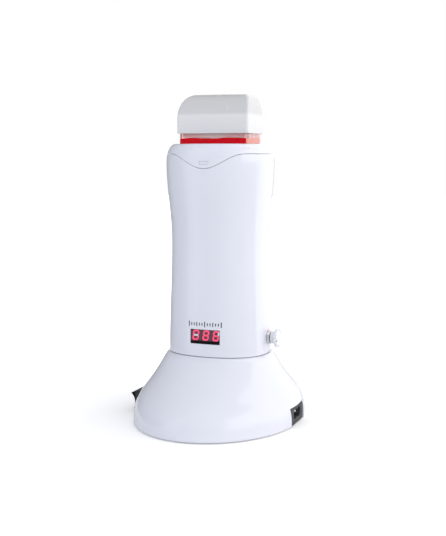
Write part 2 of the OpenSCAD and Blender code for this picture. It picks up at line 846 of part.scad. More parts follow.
// Soldered parts, each centred at [x, z], as [width, depth, height] or as [radius, length]
connector_at = [0, board_z0 + 4.65];
connector = [18, 6, 5.5];
chip_at = [0, board_z0 + 14.4];
chip = [10, 1.6, 6];
relay_at = [-4.5, board_z1 - 21];
relay = [15, 10, 18];
triac_at = [0, board_z1 - 21.5];
triac = [8, 1.4, 5];
tall_can_at = [8.5, board_z1 - 24];
tall_can = [4, 11];
short_can_at = [8, board_z1 - 14];
short_can = [2.5, 7];

// A block on the board's back, or on its front when front is true
module board_block(at, size, front = false) {
    y0 = front ? board_y - size[1] : board_y + board_t;
    block([at[0] - size[0] / 2, y0, at[1] - size[2] / 2],
        [at[0] + size[0] / 2, y0 + size[1], at[1] + size[2] / 2]);
}

// A round can on the board's back
module board_can(at, size) {
    bar_y(size[0], board_y + board_t, board_y + board_t + size[1], at[0], at[1]);
}

module board_parts() color("dimgray") {
    board_block(relay_at, relay);
    board_block(connector_at, connector);
    board_block(chip_at, chip);
    board_block(triac_at, triac, true);
    board_can(tall_can_at, tall_can);
    board_can(short_can_at, short_can);
}

module display_module() color("black") {
    block([-window_w / 2 + touch, -display_face, window_z - window_h / 2 + touch],
        [window_w / 2 - touch, board_y, window_z + window_h / 2 - touch]);
}

module board_screws() color("silver") {
    for (x = [-1, 1], z = board_posts_z) {
        bar_y(0.85, board_y - 3.4, board_y + board_t, x * board_post_x, z);
        bar_y(1.9, board_y + board_t, board_y + board_t + 1.4, x * board_post_x, z);
    }
}

dial_r = 6.2;
dial_depth = 9;
nut_x = body_a(knob_z) + touch;
nut_t = 2.2;
bushing_end = nut_x + nut_t + 0.2;
spindle_gap = 0.06;
knob_gap = 0.3;
hub_r = 4.8;
knob_back = 44.3;

module dial_control() color("lightslategray") {
    difference() {
        union() {
            bar_x(dial_r, dial_face - dial_depth, dial_face, 0, knob_z);
            bar_x(bushing_r, dial_face - eps, bushing_end, 0, knob_z);
            for (i = [-1:1])
                block([dial_face - dial_depth + 2, i * 4 - 0.5, knob_z + dial_r - 1],
                    [dial_face - dial_depth + 2.8, i * 4 + 0.5, knob_z + dial_r + 5]);
        }
        bar_x(spindle_r + spindle_gap, dial_face - dial_depth + 2, bushing_end + eps, 0, knob_z);
    }
}

module dial_nut() color("silver") {
    difference() {
        translate([nut_x, 0, knob_z])
            rotate([0, 90, 0])
                cylinder(h = nut_t, r = 5.2, $fn = 6);
        bar_x(bushing_r + 0.04, nut_x - eps, nut_x + nut_t + eps, 0, knob_z);
    }
}

module dial_spindle() color("silver") {
    difference() {
        bar_x(spindle_r, dial_face - dial_depth + 2.3, knob_back + knob_t - 1, 0, knob_z);
        block([bushing_end + knob_gap, -spindle_r - eps, knob_z + spindle_r - 0.8],
            [knob_back + knob_t, spindle_r + eps, knob_z + spindle_r + eps]);
    }
}

// Turned profile: a hub under a disc with a rounded edge and a shallow dished face
module temperature_knob() color("white") {
    hub = bushing_end + knob_gap;
    face = knob_back + knob_t;
    grooves = 18;
    difference() {
        translate([0, 0, knob_z])
            rotate([0, 90, 0])
                rotate_extrude()
                    polygon([
                        [0, hub], [hub_r, hub], [hub_r, knob_back], [knob_r - 0.3, knob_back],
                        [knob_r, knob_back + 0.3], [knob_r, face - 0.7], [knob_r - 0.25, face - 0.2],
                        [knob_r - 0.8, face],
                        [knob_r - 1.5, face], [knob_r - 1.9, face - 0.25], [0, face - 0.25]
                    ]);
        difference() {
            bar_x(spindle_r + 0.02, hub - eps, face - 0.98, 0, knob_z);
            block([hub - 2 * eps, -spindle_r - eps, knob_z + spindle_r - 0.78],
                [face, spindle_r + eps, knob_z + spindle_r + 2 * eps]);
        }
        for (i = [0:grooves - 1])
            translate([0, 0, knob_z])
                rotate([i * 360 / grooves, 0, 0])
                    bar_x(0.45, knob_back - eps, knob_back + 2, 0, knob_r + 0.2);
    }
}

module shell_screws() color("silver") {
    for (x = [-1, 1]) {
        bar_y(shell_hole_r - 0.35, -12, head_seat, x * post_x, post_z);
        bar_y(head_hole_r - 0.15, head_seat, head_seat + 1.6, x * post_x, post_z);
    }
    bar_y(shell_hole_r - 0.35, heel_b - 7, heel_b - 1.1, 0, rear_screw_z);
    bar_y(head_hole_r - 0.15, heel_b - 1.1, heel_b - 0.3, 0, rear_screw_z);
}

// ---- Cartridge ---------------------------------------------------------------------------------
roller_y = 2.6;
roller_z = cartridge_top + 14.5;
cradle_gap = 0.5;
cheek_t = 2.2;
deck_t = 1.4;
cap_gap = 0.1;
cap_low = cartridge_top + cap_gap;
wax_top = cartridge_top - neck_h;

module cartridge_body() color([0.9, 0.8, 0.8, 0.5]) {
    difference() {
        oval_prism(cartridge_a, cartridge_b, cartridge_n, cartridge_bottom, cartridge_top);
        oval_prism(cartridge_a - cartridge_wall, cartridge_b - cartridge_wall, cartridge_n,
            cartridge_bottom + cartridge_wall, cartridge_top + eps);
    }
}

module wax() color("crimson") {
    oval_prism(cartridge_a - cartridge_wall, cartridge_b - cartridge_wall, cartridge_n,
        cartridge_bottom + cartridge_wall, wax_top);
}

// Cradle for the roller: a plug in the cartridge's neck, a trough, and a cheek at each end
module roller_head() color("white") {
    inner_b = cap_b - cap_wall;
    front = -inner_b + 3.2;
    back = inner_b - 2;
    cheek_in = roller_l + 0.4;
    cheek_out = cheek_in + cheek_t;
    difference() {
        union() {
            oval_prism(cartridge_a - cartridge_wall - 0.05, cartridge_b - cartridge_wall - 0.05,
                cartridge_n, wax_top, cartridge_top);
            oval_prism(cap_a - cap_wall - 0.4, cartridge_b - 0.1, cartridge_n,
                cartridge_top, cartridge_top + deck_t);
            block([-cheek_out, front, cartridge_top], [cheek_out, back, roller_z - 2.5]);
            for (side = [0, 1])
                mirror([side, 0, 0])
                    block([cheek_in, roller_y - 5, cartridge_top],
                        [cheek_out, roller_y + 5, roller_z + 4.5]);
        }
        bar_x(roller_r + cradle_gap, -cheek_in, cheek_in, roller_y, roller_z);
        bar_x(axle_r + axle_gap, -cheek_out - eps, cheek_out + eps, roller_y, roller_z);
        block([-cheek_in + 3, roller_y - 2, wax_top - eps],
            [cheek_in - 3, roller_y + 2, roller_z - roller_r + 1]);
    }
}

module wax_roller() color("whitesmoke") {
    bar_x(roller_r, -roller_l, roller_l, roller_y, roller_z);
    bar_x(axle_r, -roller_l - 0.4 - cheek_t, roller_l + 0.4 + cheek_t, roller_y, roller_z);
}

// The cap's section at angle q up its rounded top: the front leans back most
cap_top_in = 7.7;
cap_front_in = 21;
cap_back_in = 5;

function cap_ring(q, inset) =
    let (u = 1 - cos(q), rise = cap_h - cap_straight,
        front = -cap_b + inset + cap_front_in * u, back = cap_b - inset - cap_back_in * u)
    ring(cap_a - inset - cap_top_in * u, (back - front) / 2, 10,
        cap_low + cap_straight + (rise - inset) * sin(q), (back + front) / 2);

module cartridge_cap() color("white") {
    angles = [0:12:84];
    outer = concat([ring(cap_a, cap_b, 10, cap_low)], [for (q = angles) cap_ring(q, 0)]);
    inner = concat([ring(cap_a - cap_wall, cap_b - cap_wall, 10, cap_low)],
        [for (q = angles) cap_ring(q, cap_wall)]);
    skin(concat(reversed(inner), outer));
}

base_shell();
base_plate();
rubber_feet();
base_screws();
dock_cup();
contact_block();
contact_pins();
power_inlet();
inlet_pins();
switch_body();
switch_blades();
power_rocker();
front_shell();
rear_shell();
top_cover();
indicator_lens();
indicator_lamp();
bottom_cap();
socket_block();
socket_sleeves();
heat_well();
heater_plates();
insulation_pads();
pressure_plates();
clamp_screws();
temperature_probe();
thermal_cutout();
well_tray();
control_board();
board_parts();
display_module();
board_screws();
dial_control();
dial_nut();
shell_screws();
dial_spindle();
temperature_knob();
cartridge_body();
wax();
roller_head();
wax_roller();
cartridge_cap();
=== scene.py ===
# %% [markdown]
# # A roll-on wax heater
# An upright handset warms a wax cartridge and stands in an oval charging base. Nearly all of it is glossy
# white moulding, so its look comes from its curves, the thin gaps between its shells, and what the polish
# mirrors. The frame comes first: it holds every piece at its real size, in metres, and knows what moves.

# %% Load the frame
import json
import math

import bpy
import bmesh
import numpy as np
from mathutils import Matrix, Vector

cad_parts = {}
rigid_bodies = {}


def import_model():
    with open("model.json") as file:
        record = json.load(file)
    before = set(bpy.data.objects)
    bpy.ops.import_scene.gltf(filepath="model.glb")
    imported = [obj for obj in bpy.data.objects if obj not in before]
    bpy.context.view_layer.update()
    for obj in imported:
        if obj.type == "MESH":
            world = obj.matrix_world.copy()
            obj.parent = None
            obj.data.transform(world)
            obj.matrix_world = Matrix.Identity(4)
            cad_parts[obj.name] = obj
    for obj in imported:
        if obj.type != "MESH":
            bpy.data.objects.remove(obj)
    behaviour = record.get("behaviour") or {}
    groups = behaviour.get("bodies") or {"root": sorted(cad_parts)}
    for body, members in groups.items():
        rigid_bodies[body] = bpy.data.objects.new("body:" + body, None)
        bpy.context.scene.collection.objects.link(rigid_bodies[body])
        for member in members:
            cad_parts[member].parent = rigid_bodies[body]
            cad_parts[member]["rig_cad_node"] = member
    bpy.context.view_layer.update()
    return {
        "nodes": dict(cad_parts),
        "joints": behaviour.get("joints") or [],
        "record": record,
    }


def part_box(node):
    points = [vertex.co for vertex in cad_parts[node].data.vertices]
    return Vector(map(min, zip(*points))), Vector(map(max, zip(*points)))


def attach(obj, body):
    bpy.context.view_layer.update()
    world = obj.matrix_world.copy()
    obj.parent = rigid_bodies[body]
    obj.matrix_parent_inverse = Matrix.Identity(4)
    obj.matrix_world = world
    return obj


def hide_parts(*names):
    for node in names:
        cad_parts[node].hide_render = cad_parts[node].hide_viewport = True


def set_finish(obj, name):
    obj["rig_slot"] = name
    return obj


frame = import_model()
nodes = frame["nodes"]
MM = 0.001


# %% [markdown]
# ## The camera
# The photo was taken from the right of the display. The camera stands on a circle round the handset, turned by
# an azimuth, and looks slightly down.

# %% Set up the camera
VIEW_AZIMUTH = 21.2
VIEW_PAN = -0.15
VIEW_PITCH = 6.41
VIEW_DISTANCE = 0.7416
VIEW_HEIGHT = 0.1978
FOCAL_PIXELS = 986.65
IMAGE_WIDTH = 446
SENSOR = 36.0


def make_camera():
    """Place the camera on its circle, aimed by pan and pitch."""
    theta = math.radians(VIEW_AZIMUTH)
    camera = bpy.data.objects.new("camera", bpy.data.cameras.new("camera"))
    camera.data.sensor_fit = "HORIZONTAL"
    camera.data.sensor_width = SENSOR
    camera.data.lens = FOCAL_PIXELS * SENSOR / IMAGE_WIDTH
    camera.location = (VIEW_DISTANCE * math.sin(theta), -VIEW_DISTANCE * math.cos(theta), VIEW_HEIGHT)
    turn = math.radians(VIEW_AZIMUTH + VIEW_PAN)
    camera.rotation_euler = (math.radians(90 - VIEW_PITCH), 0, turn)
    bpy.context.scene.collection.objects.link(camera)
    bpy.context.scene.camera = camera


make_camera()


# %% [markdown]
# ## From arrays to meshes
# A surface is a grid of points: one index runs along a profile, the other round the piece, and the four
# corners of each cell make a face. A grid can wrap on either index, and an open side is closed by one flat
# face. Sizes are written in millimetres, as on a drawing.

# %% Turn a grid of points into an object
SHARP = 32
SAME_POINT, NO_LENGTH = 1e-7, 1e-8
ENDS = ("first_row", "last_row")


def cell_faces(rows, columns, wrap_rows, wrap_columns):
    """Corner numbers of each cell of a grid, whose points are numbered row by row."""
    r = np.arange(rows if wrap_rows else rows - 1)[:, None]
    c = np.arange(columns if wrap_columns else columns - 1)[None, :]
    up, on = (r + 1) % rows, (c + 1) % columns
    corners = [r * columns + c, r * columns + on, up * columns + on, up * columns + c]
    return np.stack([np.broadcast_to(k, (r.shape[0], c.shape[1])) for k in corners], -1).reshape(-1, 4)


def add_object(name, mesh):
    """Put a mesh into the scene as an object at the origin."""
    piece = bpy.data.objects.new(name, mesh)
    bpy.context.scene.collection.objects.link(piece)
    return piece


def tidy(mesh, sharp_degrees=SHARP):
    """Merge doubles, point every face outwards and shade smoothly between the sharp edges."""
    bm = bmesh.new()
    bm.from_mesh(mesh)
    bmesh.ops.remove_doubles(bm, verts=bm.verts, dist=SAME_POINT)
    bmesh.ops.dissolve_degenerate(bm, edges=bm.edges, dist=NO_LENGTH)
    bmesh.ops.recalc_face_normals(bm, faces=bm.faces)
    bm.to_mesh(mesh)
    bm.free()
    mesh.shade_smooth()
    mesh.set_sharp_from_angle(angle=math.radians(sharp_degrees))


def skin(name, grid, wrap_rows=False, wrap_columns=True, close=(), sharp_degrees=SHARP):
    """Make an object from a grid in millimetres. close names the open sides that get one flat face each."""
    rows, columns = grid.shape[:2]
    faces = cell_faces(rows, columns, wrap_rows, wrap_columns).tolist()
    ends = {
        "first_row": range(columns),
        "last_row": range((rows - 1) * columns, rows * columns),
        "first_column": range(0, rows * columns, columns),
        "last_column": range(columns - 1, rows * columns, columns),
    }
    faces += [list(ends[side]) for side in close]
    mesh = bpy.data.meshes.new(name)
    mesh.from_pydata((grid.reshape(-1, 3) * MM).tolist(), [], faces)
    tidy(mesh, sharp_degrees)
    return add_object(name, mesh)


# %% [markdown]
# ## Cutting and rounding
# A window or a notch is cut with Blender's exact Boolean, and the result is written back as a plain mesh.

# %% Cut, round and place
def bake(piece, sharp_degrees=SHARP):
    """Write what the modifiers make into the mesh and take them off."""
    depsgraph = bpy.context.evaluated_depsgraph_get()
    mesh = bpy.data.meshes.new_from_object(piece.evaluated_get(depsgraph))
    mesh.name = piece.name
    piece.modifiers.clear()
    piece.data = mesh
    tidy(mesh, sharp_degrees)
    return piece


def cut(piece, *cutters, operation="DIFFERENCE"):
    """Take the cutters out of the piece, or join them to it."""
    for cutter in cutters:
        boolean = piece.modifiers.new("cut", "BOOLEAN")
        boolean.operation = operation
        boolean.solver = "EXACT"
        boolean.object = cutter
        bpy.context.view_layer.update()
        bake(piece)
        bpy.data.objects.remove(cutter)
    return piece


def rounded(piece, radius, segments=3, limit_degrees=SHARP):
    """Round every edge sharper than the limit."""
    bevel = piece.modifiers.new("edges", "BEVEL")
    bevel.width = radius * MM
    bevel.segments = segments
    bevel.limit_method = "ANGLE"
    bevel.angle_limit = math.radians(limit_degrees)
    bevel.harden_normals = False
    bpy.context.view_layer.update()
    return bake(piece, limit_degrees)


def settle(piece, body, slot, *replaced):
    """Say what carries a piece, which finish it takes and which plain solid it stands for."""
    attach(piece, body)
    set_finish(piece, slot)
    if replaced:
        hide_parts(*replaced)
    print(piece.name, len(piece.data.polygons), "faces")


# %% [markdown]
# ## Ovals and rounded rectangles
# The handset's section lies between an ellipse and a rectangle. The curve |x/a|^n + |y/b|^n = 1 gives that,
# with n = 2 for an ellipse and more for a squarer one. The cartridge and its cap are true rounded rectangles.

# %% Section curves
def quarter_turn(count):
    """Angles from 0 to 90 degrees."""
    return np.linspace(0, np.pi / 2, count)


def whole_turn(count):
    """Angles round a circle, without the last one, which is the first again."""
    return np.linspace(0, 2 * np.pi, count, endpoint=False)


def superellipse(a, b, n, t):
    """Points of |x/a|^n + |y/b|^n = 1 at angles t: x = a cos(t)^(2/n), y = b sin(t)^(2/n), keeping signs."""
    c, s = np.cos(t), np.sin(t)
    x = a * np.sign(c) * np.abs(c) ** (2 / n)
    y = b * np.sign(s) * np.abs(s) ** (2 / n)
    return x, y


def corner_walk(a, b, r, count):
    """Points round a rectangle of half sizes a, b, with count points on each corner of radius r."""
    turns = quarter_turn(count) + np.arange(4)[:, None] * np.pi / 2
    x = np.array([1, -1, -1, 1])[:, None] * (a - r) + r * np.cos(turns)
    y = np.array([1, 1, -1, -1])[:, None] * (b - r) + r * np.sin(turns)
    return x.ravel(), y.ravel()


def round_rectangle(a, b, r, t):
    """The same outline seen from its centre at angles t: each takes the point whose direction matches it."""
    x, y = corner_walk(a, b, r, 24)
    way = np.unwrap(np.arctan2(y, x))
    way, x, y = [np.concatenate([v - k, v, v + k]) for v, k in ((way, 2 * np.pi), (x, 0), (y, 0))]
    t = np.mod(np.asarray(t), 2 * np.pi)
    return np.interp(t, way, x), np.interp(t, way, y)


def ring_of(x, y, z):
    """Stack matching x, y and z arrays as one ring of points."""
    return np.stack([x, y, np.broadcast_to(z, x.shape)], -1)


def drawn_in(size, inset, t, z):
    """A ring round a rounded rectangle (a, b, r), with all three made less by inset."""
    return ring_of(*round_rectangle(*(k - inset for k in size), t), z)


def ease(t):
    """Smooth step: (1 - cos(180 t)) / 2, held between 0 and 1."""
    return (1 - np.cos(np.pi * np.clip(t, 0, 1))) / 2


# %% [markdown]
# ## The handset's body
# Half width and depth follow a smooth step from the waist up to the shoulder and down to the heel. Above the
# shoulder they draw in along a quarter of an ellipse to the flat top. Shells and cover share this one surface,
# and the seam between them dips at the front, round a tongue.

# %% Body sizes
WAIST = (36.4, 30.5, 135.0)
SHOULDER = (40.1, 34.0, 194.0)
HEEL = (38.4, 32.3, 52.2)
CROWN_H, CROWN_IN = 13.5, 6.5
TOP_Z = SHOULDER[2] + CROWN_H
BODY_N = 2.3
SHELL_WALL = 2.0
SEAM_Z = 200.2
TONGUE_DROP = 10.6
TONGUE_W = 30.0
SEAM_GAP = 0.13
EDGE_R = 0.35
PARTING = 0.0012


def body_size(z):
    """Half width and half depth of the body at height z."""
    up = ease((z - WAIST[2]) / (SHOULDER[2] - WAIST[2]))
    down = ease((WAIST[2] - z) / (WAIST[2] - HEEL[2]))
    crown = CROWN_IN * (1 - np.sqrt(1 - np.clip((z - SHOULDER[2]) / CROWN_H, 0, 1) ** 2))
    levels = list(zip(WAIST, SHOULDER, HEEL))[:2]
    return [waist + (shoulder - waist) * up + (heel - waist) * down - crown for waist, shoulder, heel in levels]


def seam_height(t):
    """Height of the cover's lower edge at angle t: level, with a cosine dip at the front."""
    x, y = superellipse(SHOULDER[0], SHOULDER[1], BODY_N, t)
    dip = TONGUE_DROP * (1 + np.cos(np.pi * x / TONGUE_W)) / 2
    return np.where((y < 0) & (np.abs(x) < TONGUE_W), SEAM_Z - dip, SEAM_Z)


def body_surface(z, inset, t):
    """Points of the body's skin at heights z, moved inwards by inset, at angles t."""
    a, b = body_size(z)
    return ring_of(*superellipse(a - inset, b - inset, BODY_N, t), z)


# %% [markdown]
# ### Front and rear shells
# Each shell is half of the body. Its profile runs up the outside, round a small edge at the seam, down the
# inside and round the lower edge. The parting line at each side is a real gap.

# %% Make the two shells
def body_shell(name, start):
    """Half of the body, from angle start to start + 180 degrees."""
    t = start + np.linspace(PARTING, np.pi - PARTING, 181)[None, :]
    top = seam_height(t) - SEAM_GAP
    bottom = HEEL[2]
    turn = quarter_turn(5)[:, None]
    lean, rise = EDGE_R * (1 - np.cos(turn)), EDGE_R * (1 - np.sin(turn))
    share = np.linspace(0, 1, 90)[:, None]
    outer = bottom + EDGE_R + (top - bottom - 2 * EDGE_R) * share
    inner = bottom + (top - bottom) * share[::-1]
    heights = [outer, top - rise[1:], inner, bottom + rise[:0:-1] + 0 * t]
    insets = [0 * outer, lean[1:] + 0 * t, SHELL_WALL + 0 * inner, lean[:0:-1] + 0 * t]
    z, inset = np.concatenate(heights), np.concatenate(insets)
    grid = body_surface(z, inset, np.broadcast_to(t, z.shape))
    return skin(name, grid, wrap_rows=True, wrap_columns=False, close=("first_column", "last_column"))


front_shell = body_shell("front_shell_skin", np.pi)
rear_shell = body_shell("rear_shell_skin", 0.0)


# %% [markdown]
# The display's window is cut through the front shell, and the dial's bushing passes between both shells.
# Screw heads sit in round recesses of the rear shell.

# %% Cut the openings of the shells
def slab(name, low, high, radius=0.0, segments=3, axis=1):
    """A block between two corners. Its four edges along the axis are rounded."""
    low, high = np.array(low, float), np.array(high, float)
    u, v = [k for k in range(3) if k != axis]
    half, middle = (high - low) / 2, (high + low) / 2
    across, along = corner_walk(half[u], half[v], radius, segments + 1)
    grid = np.empty((2, len(across), 3))
    grid[..., u], grid[..., v] = middle[u] + across, middle[v] + along
    grid[..., axis] = np.array([low[axis], high[axis]])[:, None]
    return skin(name, grid, close=ENDS)


def rod(name, radius, start, end):
    """A level round bar between two points, made of two circles."""
    start, end = np.array(start, float), np.array(end, float)
    way = (end - start) / np.linalg.norm(end - start)
    side = np.cross(way, [0, 0, 1])
    other = np.cross(way, side)
    t = whole_turn(48)[:, None]
    circle = radius * (np.cos(t) * side + np.sin(t) * other)
    return skin(name, np.stack([start + circle, end + circle]), close=ENDS)


WINDOW = (23.2, 10.8, 67.0)
WINDOW_R = 0.6
DIAL_Z = 64.0
BUSHING_R = 3.65
POST_X, POST_Z = 26.0, 108.0
LOW_SCREW_Z = HEEL[2] + 3
SCREW_R = 2.3


def bushing_cutter():
    """A bar through the right side, where the dial's bushing passes."""
    return rod("bushing_cutter", BUSHING_R, (30, 0, DIAL_Z), (45, 0, DIAL_Z))


def screw_cutter(x, start, end, z):
    """The recess of one screw head, from the rear."""
    return rod("screw_cutter", SCREW_R, (x, start, z), (x, end, z))


half_w, half_h = WINDOW[0] / 2, WINDOW[1] / 2
window_cutter = slab(
    "window_cutter", (-half_w, -36, WINDOW[2] - half_h), (half_w, -24, WINDOW[2] + half_h), WINDOW_R
)
cut(front_shell, window_cutter, bushing_cutter())
screw_holes = [screw_cutter(x, 14, 40, POST_Z) for x in (-POST_X, POST_X)]
cut(rear_shell, bushing_cutter(), screw_cutter(0, 29, 36, LOW_SCREW_Z), *screw_holes)
settle(front_shell, "handset", "white_gloss", "front_shell")
settle(rear_shell, "handset", "white_gloss", "rear_shell")


# %% [markdown]
# ### The top cover
# One moulding closes the body: a rounded crown above the wavy seam, a flat top with the cartridge's opening,
# and a skirt inside the shells. Each ring of the crown lies a share sin(q) of the way from the seam to the top,
# so the rings gather where the curve is tightest.

# %% Make the top cover
OPENING = (27.8, 15.6, 2.6)
COVER_T = 4.5
SPIGOT_WALL, SPIGOT_DROP = 1.6, 18.0
SPIGOT_GAP = 0.15
OPENING_EDGE = 0.5
LENS_ROOM = 0.12


def cover_profile(t):
    """Rings of the cover, from the seam up over the crown, down the opening and back along the skirt."""
    seam = seam_height(t) + SEAM_GAP
    start = seam + EDGE_R
    rings = [body_surface(seam + EDGE_R * (1 - np.sin(q)), EDGE_R * (1 - np.cos(q)), t) for q in quarter_turn(5)[::-1]]
    rings += [body_surface(start + (TOP_Z - start) * np.sin(q), 0, t) for q in quarter_turn(33)[1:]]
    for q in quarter_turn(4):
        drop, lip = OPENING_EDGE * (1 - np.cos(q)), OPENING_EDGE * (1 - np.sin(q))
        rings.append(drawn_in(OPENING, -lip, t, TOP_Z - drop))
    rings.append(drawn_in(OPENING, 0, t, TOP_Z - COVER_T))
    inside = SHELL_WALL + SPIGOT_GAP
    deep = inside + SPIGOT_WALL
    under = superellipse(SHOULDER[0] - deep, SHOULDER[1] - deep, BODY_N, t)
    rings.append(ring_of(*under, TOP_Z - COVER_T))
    rings += [body_surface(SEAM_Z - SPIGOT_DROP + 0 * t, k, t) for k in (deep, inside)]
    rings.append(body_surface(seam, inside, t))
    return np.stack(rings)


top_cover = skin("top_cover_skin", cover_profile(whole_turn(360)), wrap_rows=True)
lens_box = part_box("indicator_lens")
lens_low, lens_high = np.array(lens_box[0]) / MM, np.array(lens_box[1]) / MM
pocket_low, pocket_high = lens_low - [LENS_ROOM, 4, LENS_ROOM], lens_high + [LENS_ROOM, 0.1, LENS_ROOM]
cut(top_cover, slab("lens_pocket", pocket_low, pocket_high, 0.5))
settle(top_cover, "handset", "white_gloss", "top_cover")


# %% [markdown]
# The indicator is a small clear lens set flush in the tongue. Only its outline shows while it is dark.

# %% Make the indicator lens
indicator = slab("indicator_window", lens_low, lens_high, 0.45)
rounded(indicator, 0.12)
settle(indicator, "handset", "indicator_clear", "indicator_lens")


# %% [markdown]
# ## The base
# The base flares from the dock's lip to a wide oval rim. Its outline is one smooth curve in two numbers: how
# far the section has grown from lip to rim, and the height. Five points pull on the curve and give it a lip, a
# hollow neck and a full foot.

# %% Base sizes
LIP = (38.9, 32.8)
RIM = (63.1, 79.0)
BASE_H = 51.8
FLARE = np.array([(0.0, BASE_H), (0.18, 49.8), (0.4, 24.2), (1.0, 27.7), (1.0, 4.0)])
BASE_WALL = 2.4
RIM_Z = 0.8
DOCK_HOLE = (37.8, 31.7)
DOCK_HOLE_H = 4.0
FOOT_IN, FOOT_UP, LIP_R = 0.9, 1.2, 0.4


def flare(t):
    """Share of the growth and height at t on the curve that the five points pull on."""
    t = np.asarray(t, float)[:, None]
    last = len(FLARE) - 1
    weights = [math.comb(last, k) * t**k * (1 - t) ** (last - k) for k in range(last + 1)]
    return (np.concatenate(weights, 1) @ FLARE).T


def flare_ring(share, z, inset, t):
    """Section of the base at one share of the growth."""
    a = LIP[0] + (RIM[0] - LIP[0]) * share - inset
    b = LIP[1] + (RIM[1] - LIP[1]) * share - inset
    return ring_of(*superellipse(a, b, BODY_N + (2 - BODY_N) * share, t), z)


def base_profile(t):
    """Rings of the base: rim, outside, lip, dock hole and inside."""
    up, on = 1 - np.sin(quarter_turn(6)), 1 - np.cos(quarter_turn(6))
    foot = [flare_ring(1, RIM_Z + FOOT_UP * u, FOOT_IN * v, t) for u, v in zip(up[::-1], on[::-1])]
    foot += [flare_ring(1, z, 0, t) for z in (2.6, 3.3)]
    share, z = flare(np.linspace(1, 0, 90))
    outside = [flare_ring(g, h, 0, t) for g, h in zip(share[:-1], z[:-1])]
    lip = [flare_ring(0, BASE_H - LIP_R * u, LIP_R * v, t) for u, v in zip(up[1:], on[1:])]
    hole = [ring_of(*superellipse(*DOCK_HOLE, BODY_N, t), h) for h in (BASE_H, BASE_H - DOCK_HOLE_H)]
    steps = np.linspace(0.25, 1, 40)
    share, z = flare(steps)
    inside = [flare_ring(g, h, BASE_WALL, t) for g, h in zip(share, z - BASE_WALL * (1 - steps))]
    inside.append(flare_ring(1, RIM_Z, BASE_WALL, t))
    return np.stack(foot + outside + lip + hole + inside)


base_shell = skin("base_shell_skin", base_profile(whole_turn(384)), wrap_rows=True)


# %% [markdown]
# The rim has a notch for the mains inlet on the right and an opening for the rocker switch on the left.

# %% Cut the notch and the switch opening
NOTCH_W, NOTCH_Z = 30.4, 14.6
SWITCH_HALF = 7.9
SWITCH_Z = 10.0
notch = slab("notch_cutter", (RIM[0] - 8, -NOTCH_W / 2, -5), (RIM[0] + 3, NOTCH_W / 2, NOTCH_Z), 0.6, axis=0)
frame_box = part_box("switch_body")
switch_half = max(abs(frame_box[0].y), abs(frame_box[1].y)) / MM + 0.1
switch_low = (-RIM[0] - 3, -switch_half, SWITCH_Z - SWITCH_HALF)
switch_high = (-RIM[0] + 7, switch_half, SWITCH_Z + SWITCH_HALF)
cut(base_shell, notch, slab("switch_cutter", switch_low, switch_high, 0.8, axis=0))
settle(base_shell, "base", "white_gloss", "base_shell")


# %% [markdown]
# ## The cap
# The cap is a tall pearly cover whose front leans back in one arc. Its section is a rounded rectangle. Going
# up, the front edge moves back by 1 - cos(q) of its reach while the height rises by sin(q), so the wall starts
# upright and ends flat.

# %% Make the cap
CAP = (27.9, 17.2)
CAP_H, CAP_STRAIGHT, CAP_WALL = 29.0, 11.0, 1.3
CAP_LOW = 215.1
CAP_IN, CAP_FRONT_IN, CAP_BACK_IN = 7.7, 21.0, 5.0
CAP_CORNER = 1.6


def cap_ring(q, inset, t):
    """The cap's section at angle q of its rounded top, drawn in by inset."""
    lean = 1 - np.cos(q)
    front = -CAP[1] + inset + CAP_FRONT_IN * lean
    back = CAP[1] - inset - CAP_BACK_IN * lean
    half_b, middle = (back - front) / 2, (back + front) / 2
    half_a = CAP[0] - inset - CAP_IN * lean
    x, y = round_rectangle(half_a, half_b, min(CAP_CORNER, 0.9 * half_b), t)
    rise = (CAP_H - CAP_STRAIGHT - inset) * np.sin(q)
    return ring_of(x, y + middle, CAP_LOW + CAP_STRAIGHT + rise)


def cap_profile(t):
    """Rings from the inner crown down the inside, round the rim and up the outside to the crown."""
    arcs = np.linspace(0, np.radians(87), 46)
    inner = [cap_ring(q, CAP_WALL, t) for q in arcs[::-1]]
    rim = []
    for inset, height in ((CAP_WALL, 0.0), (0.3, 0.0), (0.1, 0.1), (0.0, 0.3)):
        x, y = round_rectangle(CAP[0] - inset, CAP[1] - inset, CAP_CORNER, t)
        rim.append(ring_of(x, y, CAP_LOW + height))
    return np.stack(inner + rim + [cap_ring(q, 0, t) for q in arcs])


def corner_rich(count, half_a, half_b, corner, share=0.4):
    """Angles round a rounded rectangle, with a share of them spent on its four corners."""
    corners = []
    for sx, sy in ((1, 1), (-1, 1), (-1, -1), (1, -1)):
        ends = [math.atan2(sy * (half_b - corner), sx * half_a), math.atan2(sy * half_b, sx * (half_a - corner))]
        corners.append(sorted(np.mod(ends, 2 * np.pi)))
    each = int(count * share / 4)
    fine = [np.linspace(low, high, each) for low, high in corners]
    return np.unique(np.round(np.concatenate(fine + [whole_turn(count - 4 * each)]), 6))


cap_angles = corner_rich(220, CAP[0], CAP[1], CAP_CORNER)
cap = skin("cap_hood", cap_profile(cap_angles), close=ENDS, sharp_degrees=50)
settle(cap, "cap", "cap_pearl", "cartridge_cap")


# %% [markdown]
# ## The cartridge
# The tank is translucent, and its top centimetre shows between the handset and the cap. The wax inside is a
# second closed skin. It reaches a hair into the wall, so that light goes from the plastic straight into the wax
# with no film of air between. The wax's top is a meniscus: it climbs at the walls and ripples where it has set.

# %% Make the tank and the wax
TANK = (27.15, 14.95, 2.2)
TANK_WALL = 1.4
WETTING, WAX_GAP = 0.06, 0.02
tank_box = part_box("cartridge_body")
TANK_LOW, TANK_TOP = tank_box[0].z / MM, tank_box[1].z / MM
WAX_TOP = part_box("wax")[1].z / MM
tank_angles = corner_rich(200, TANK[0], TANK[1], TANK[2])


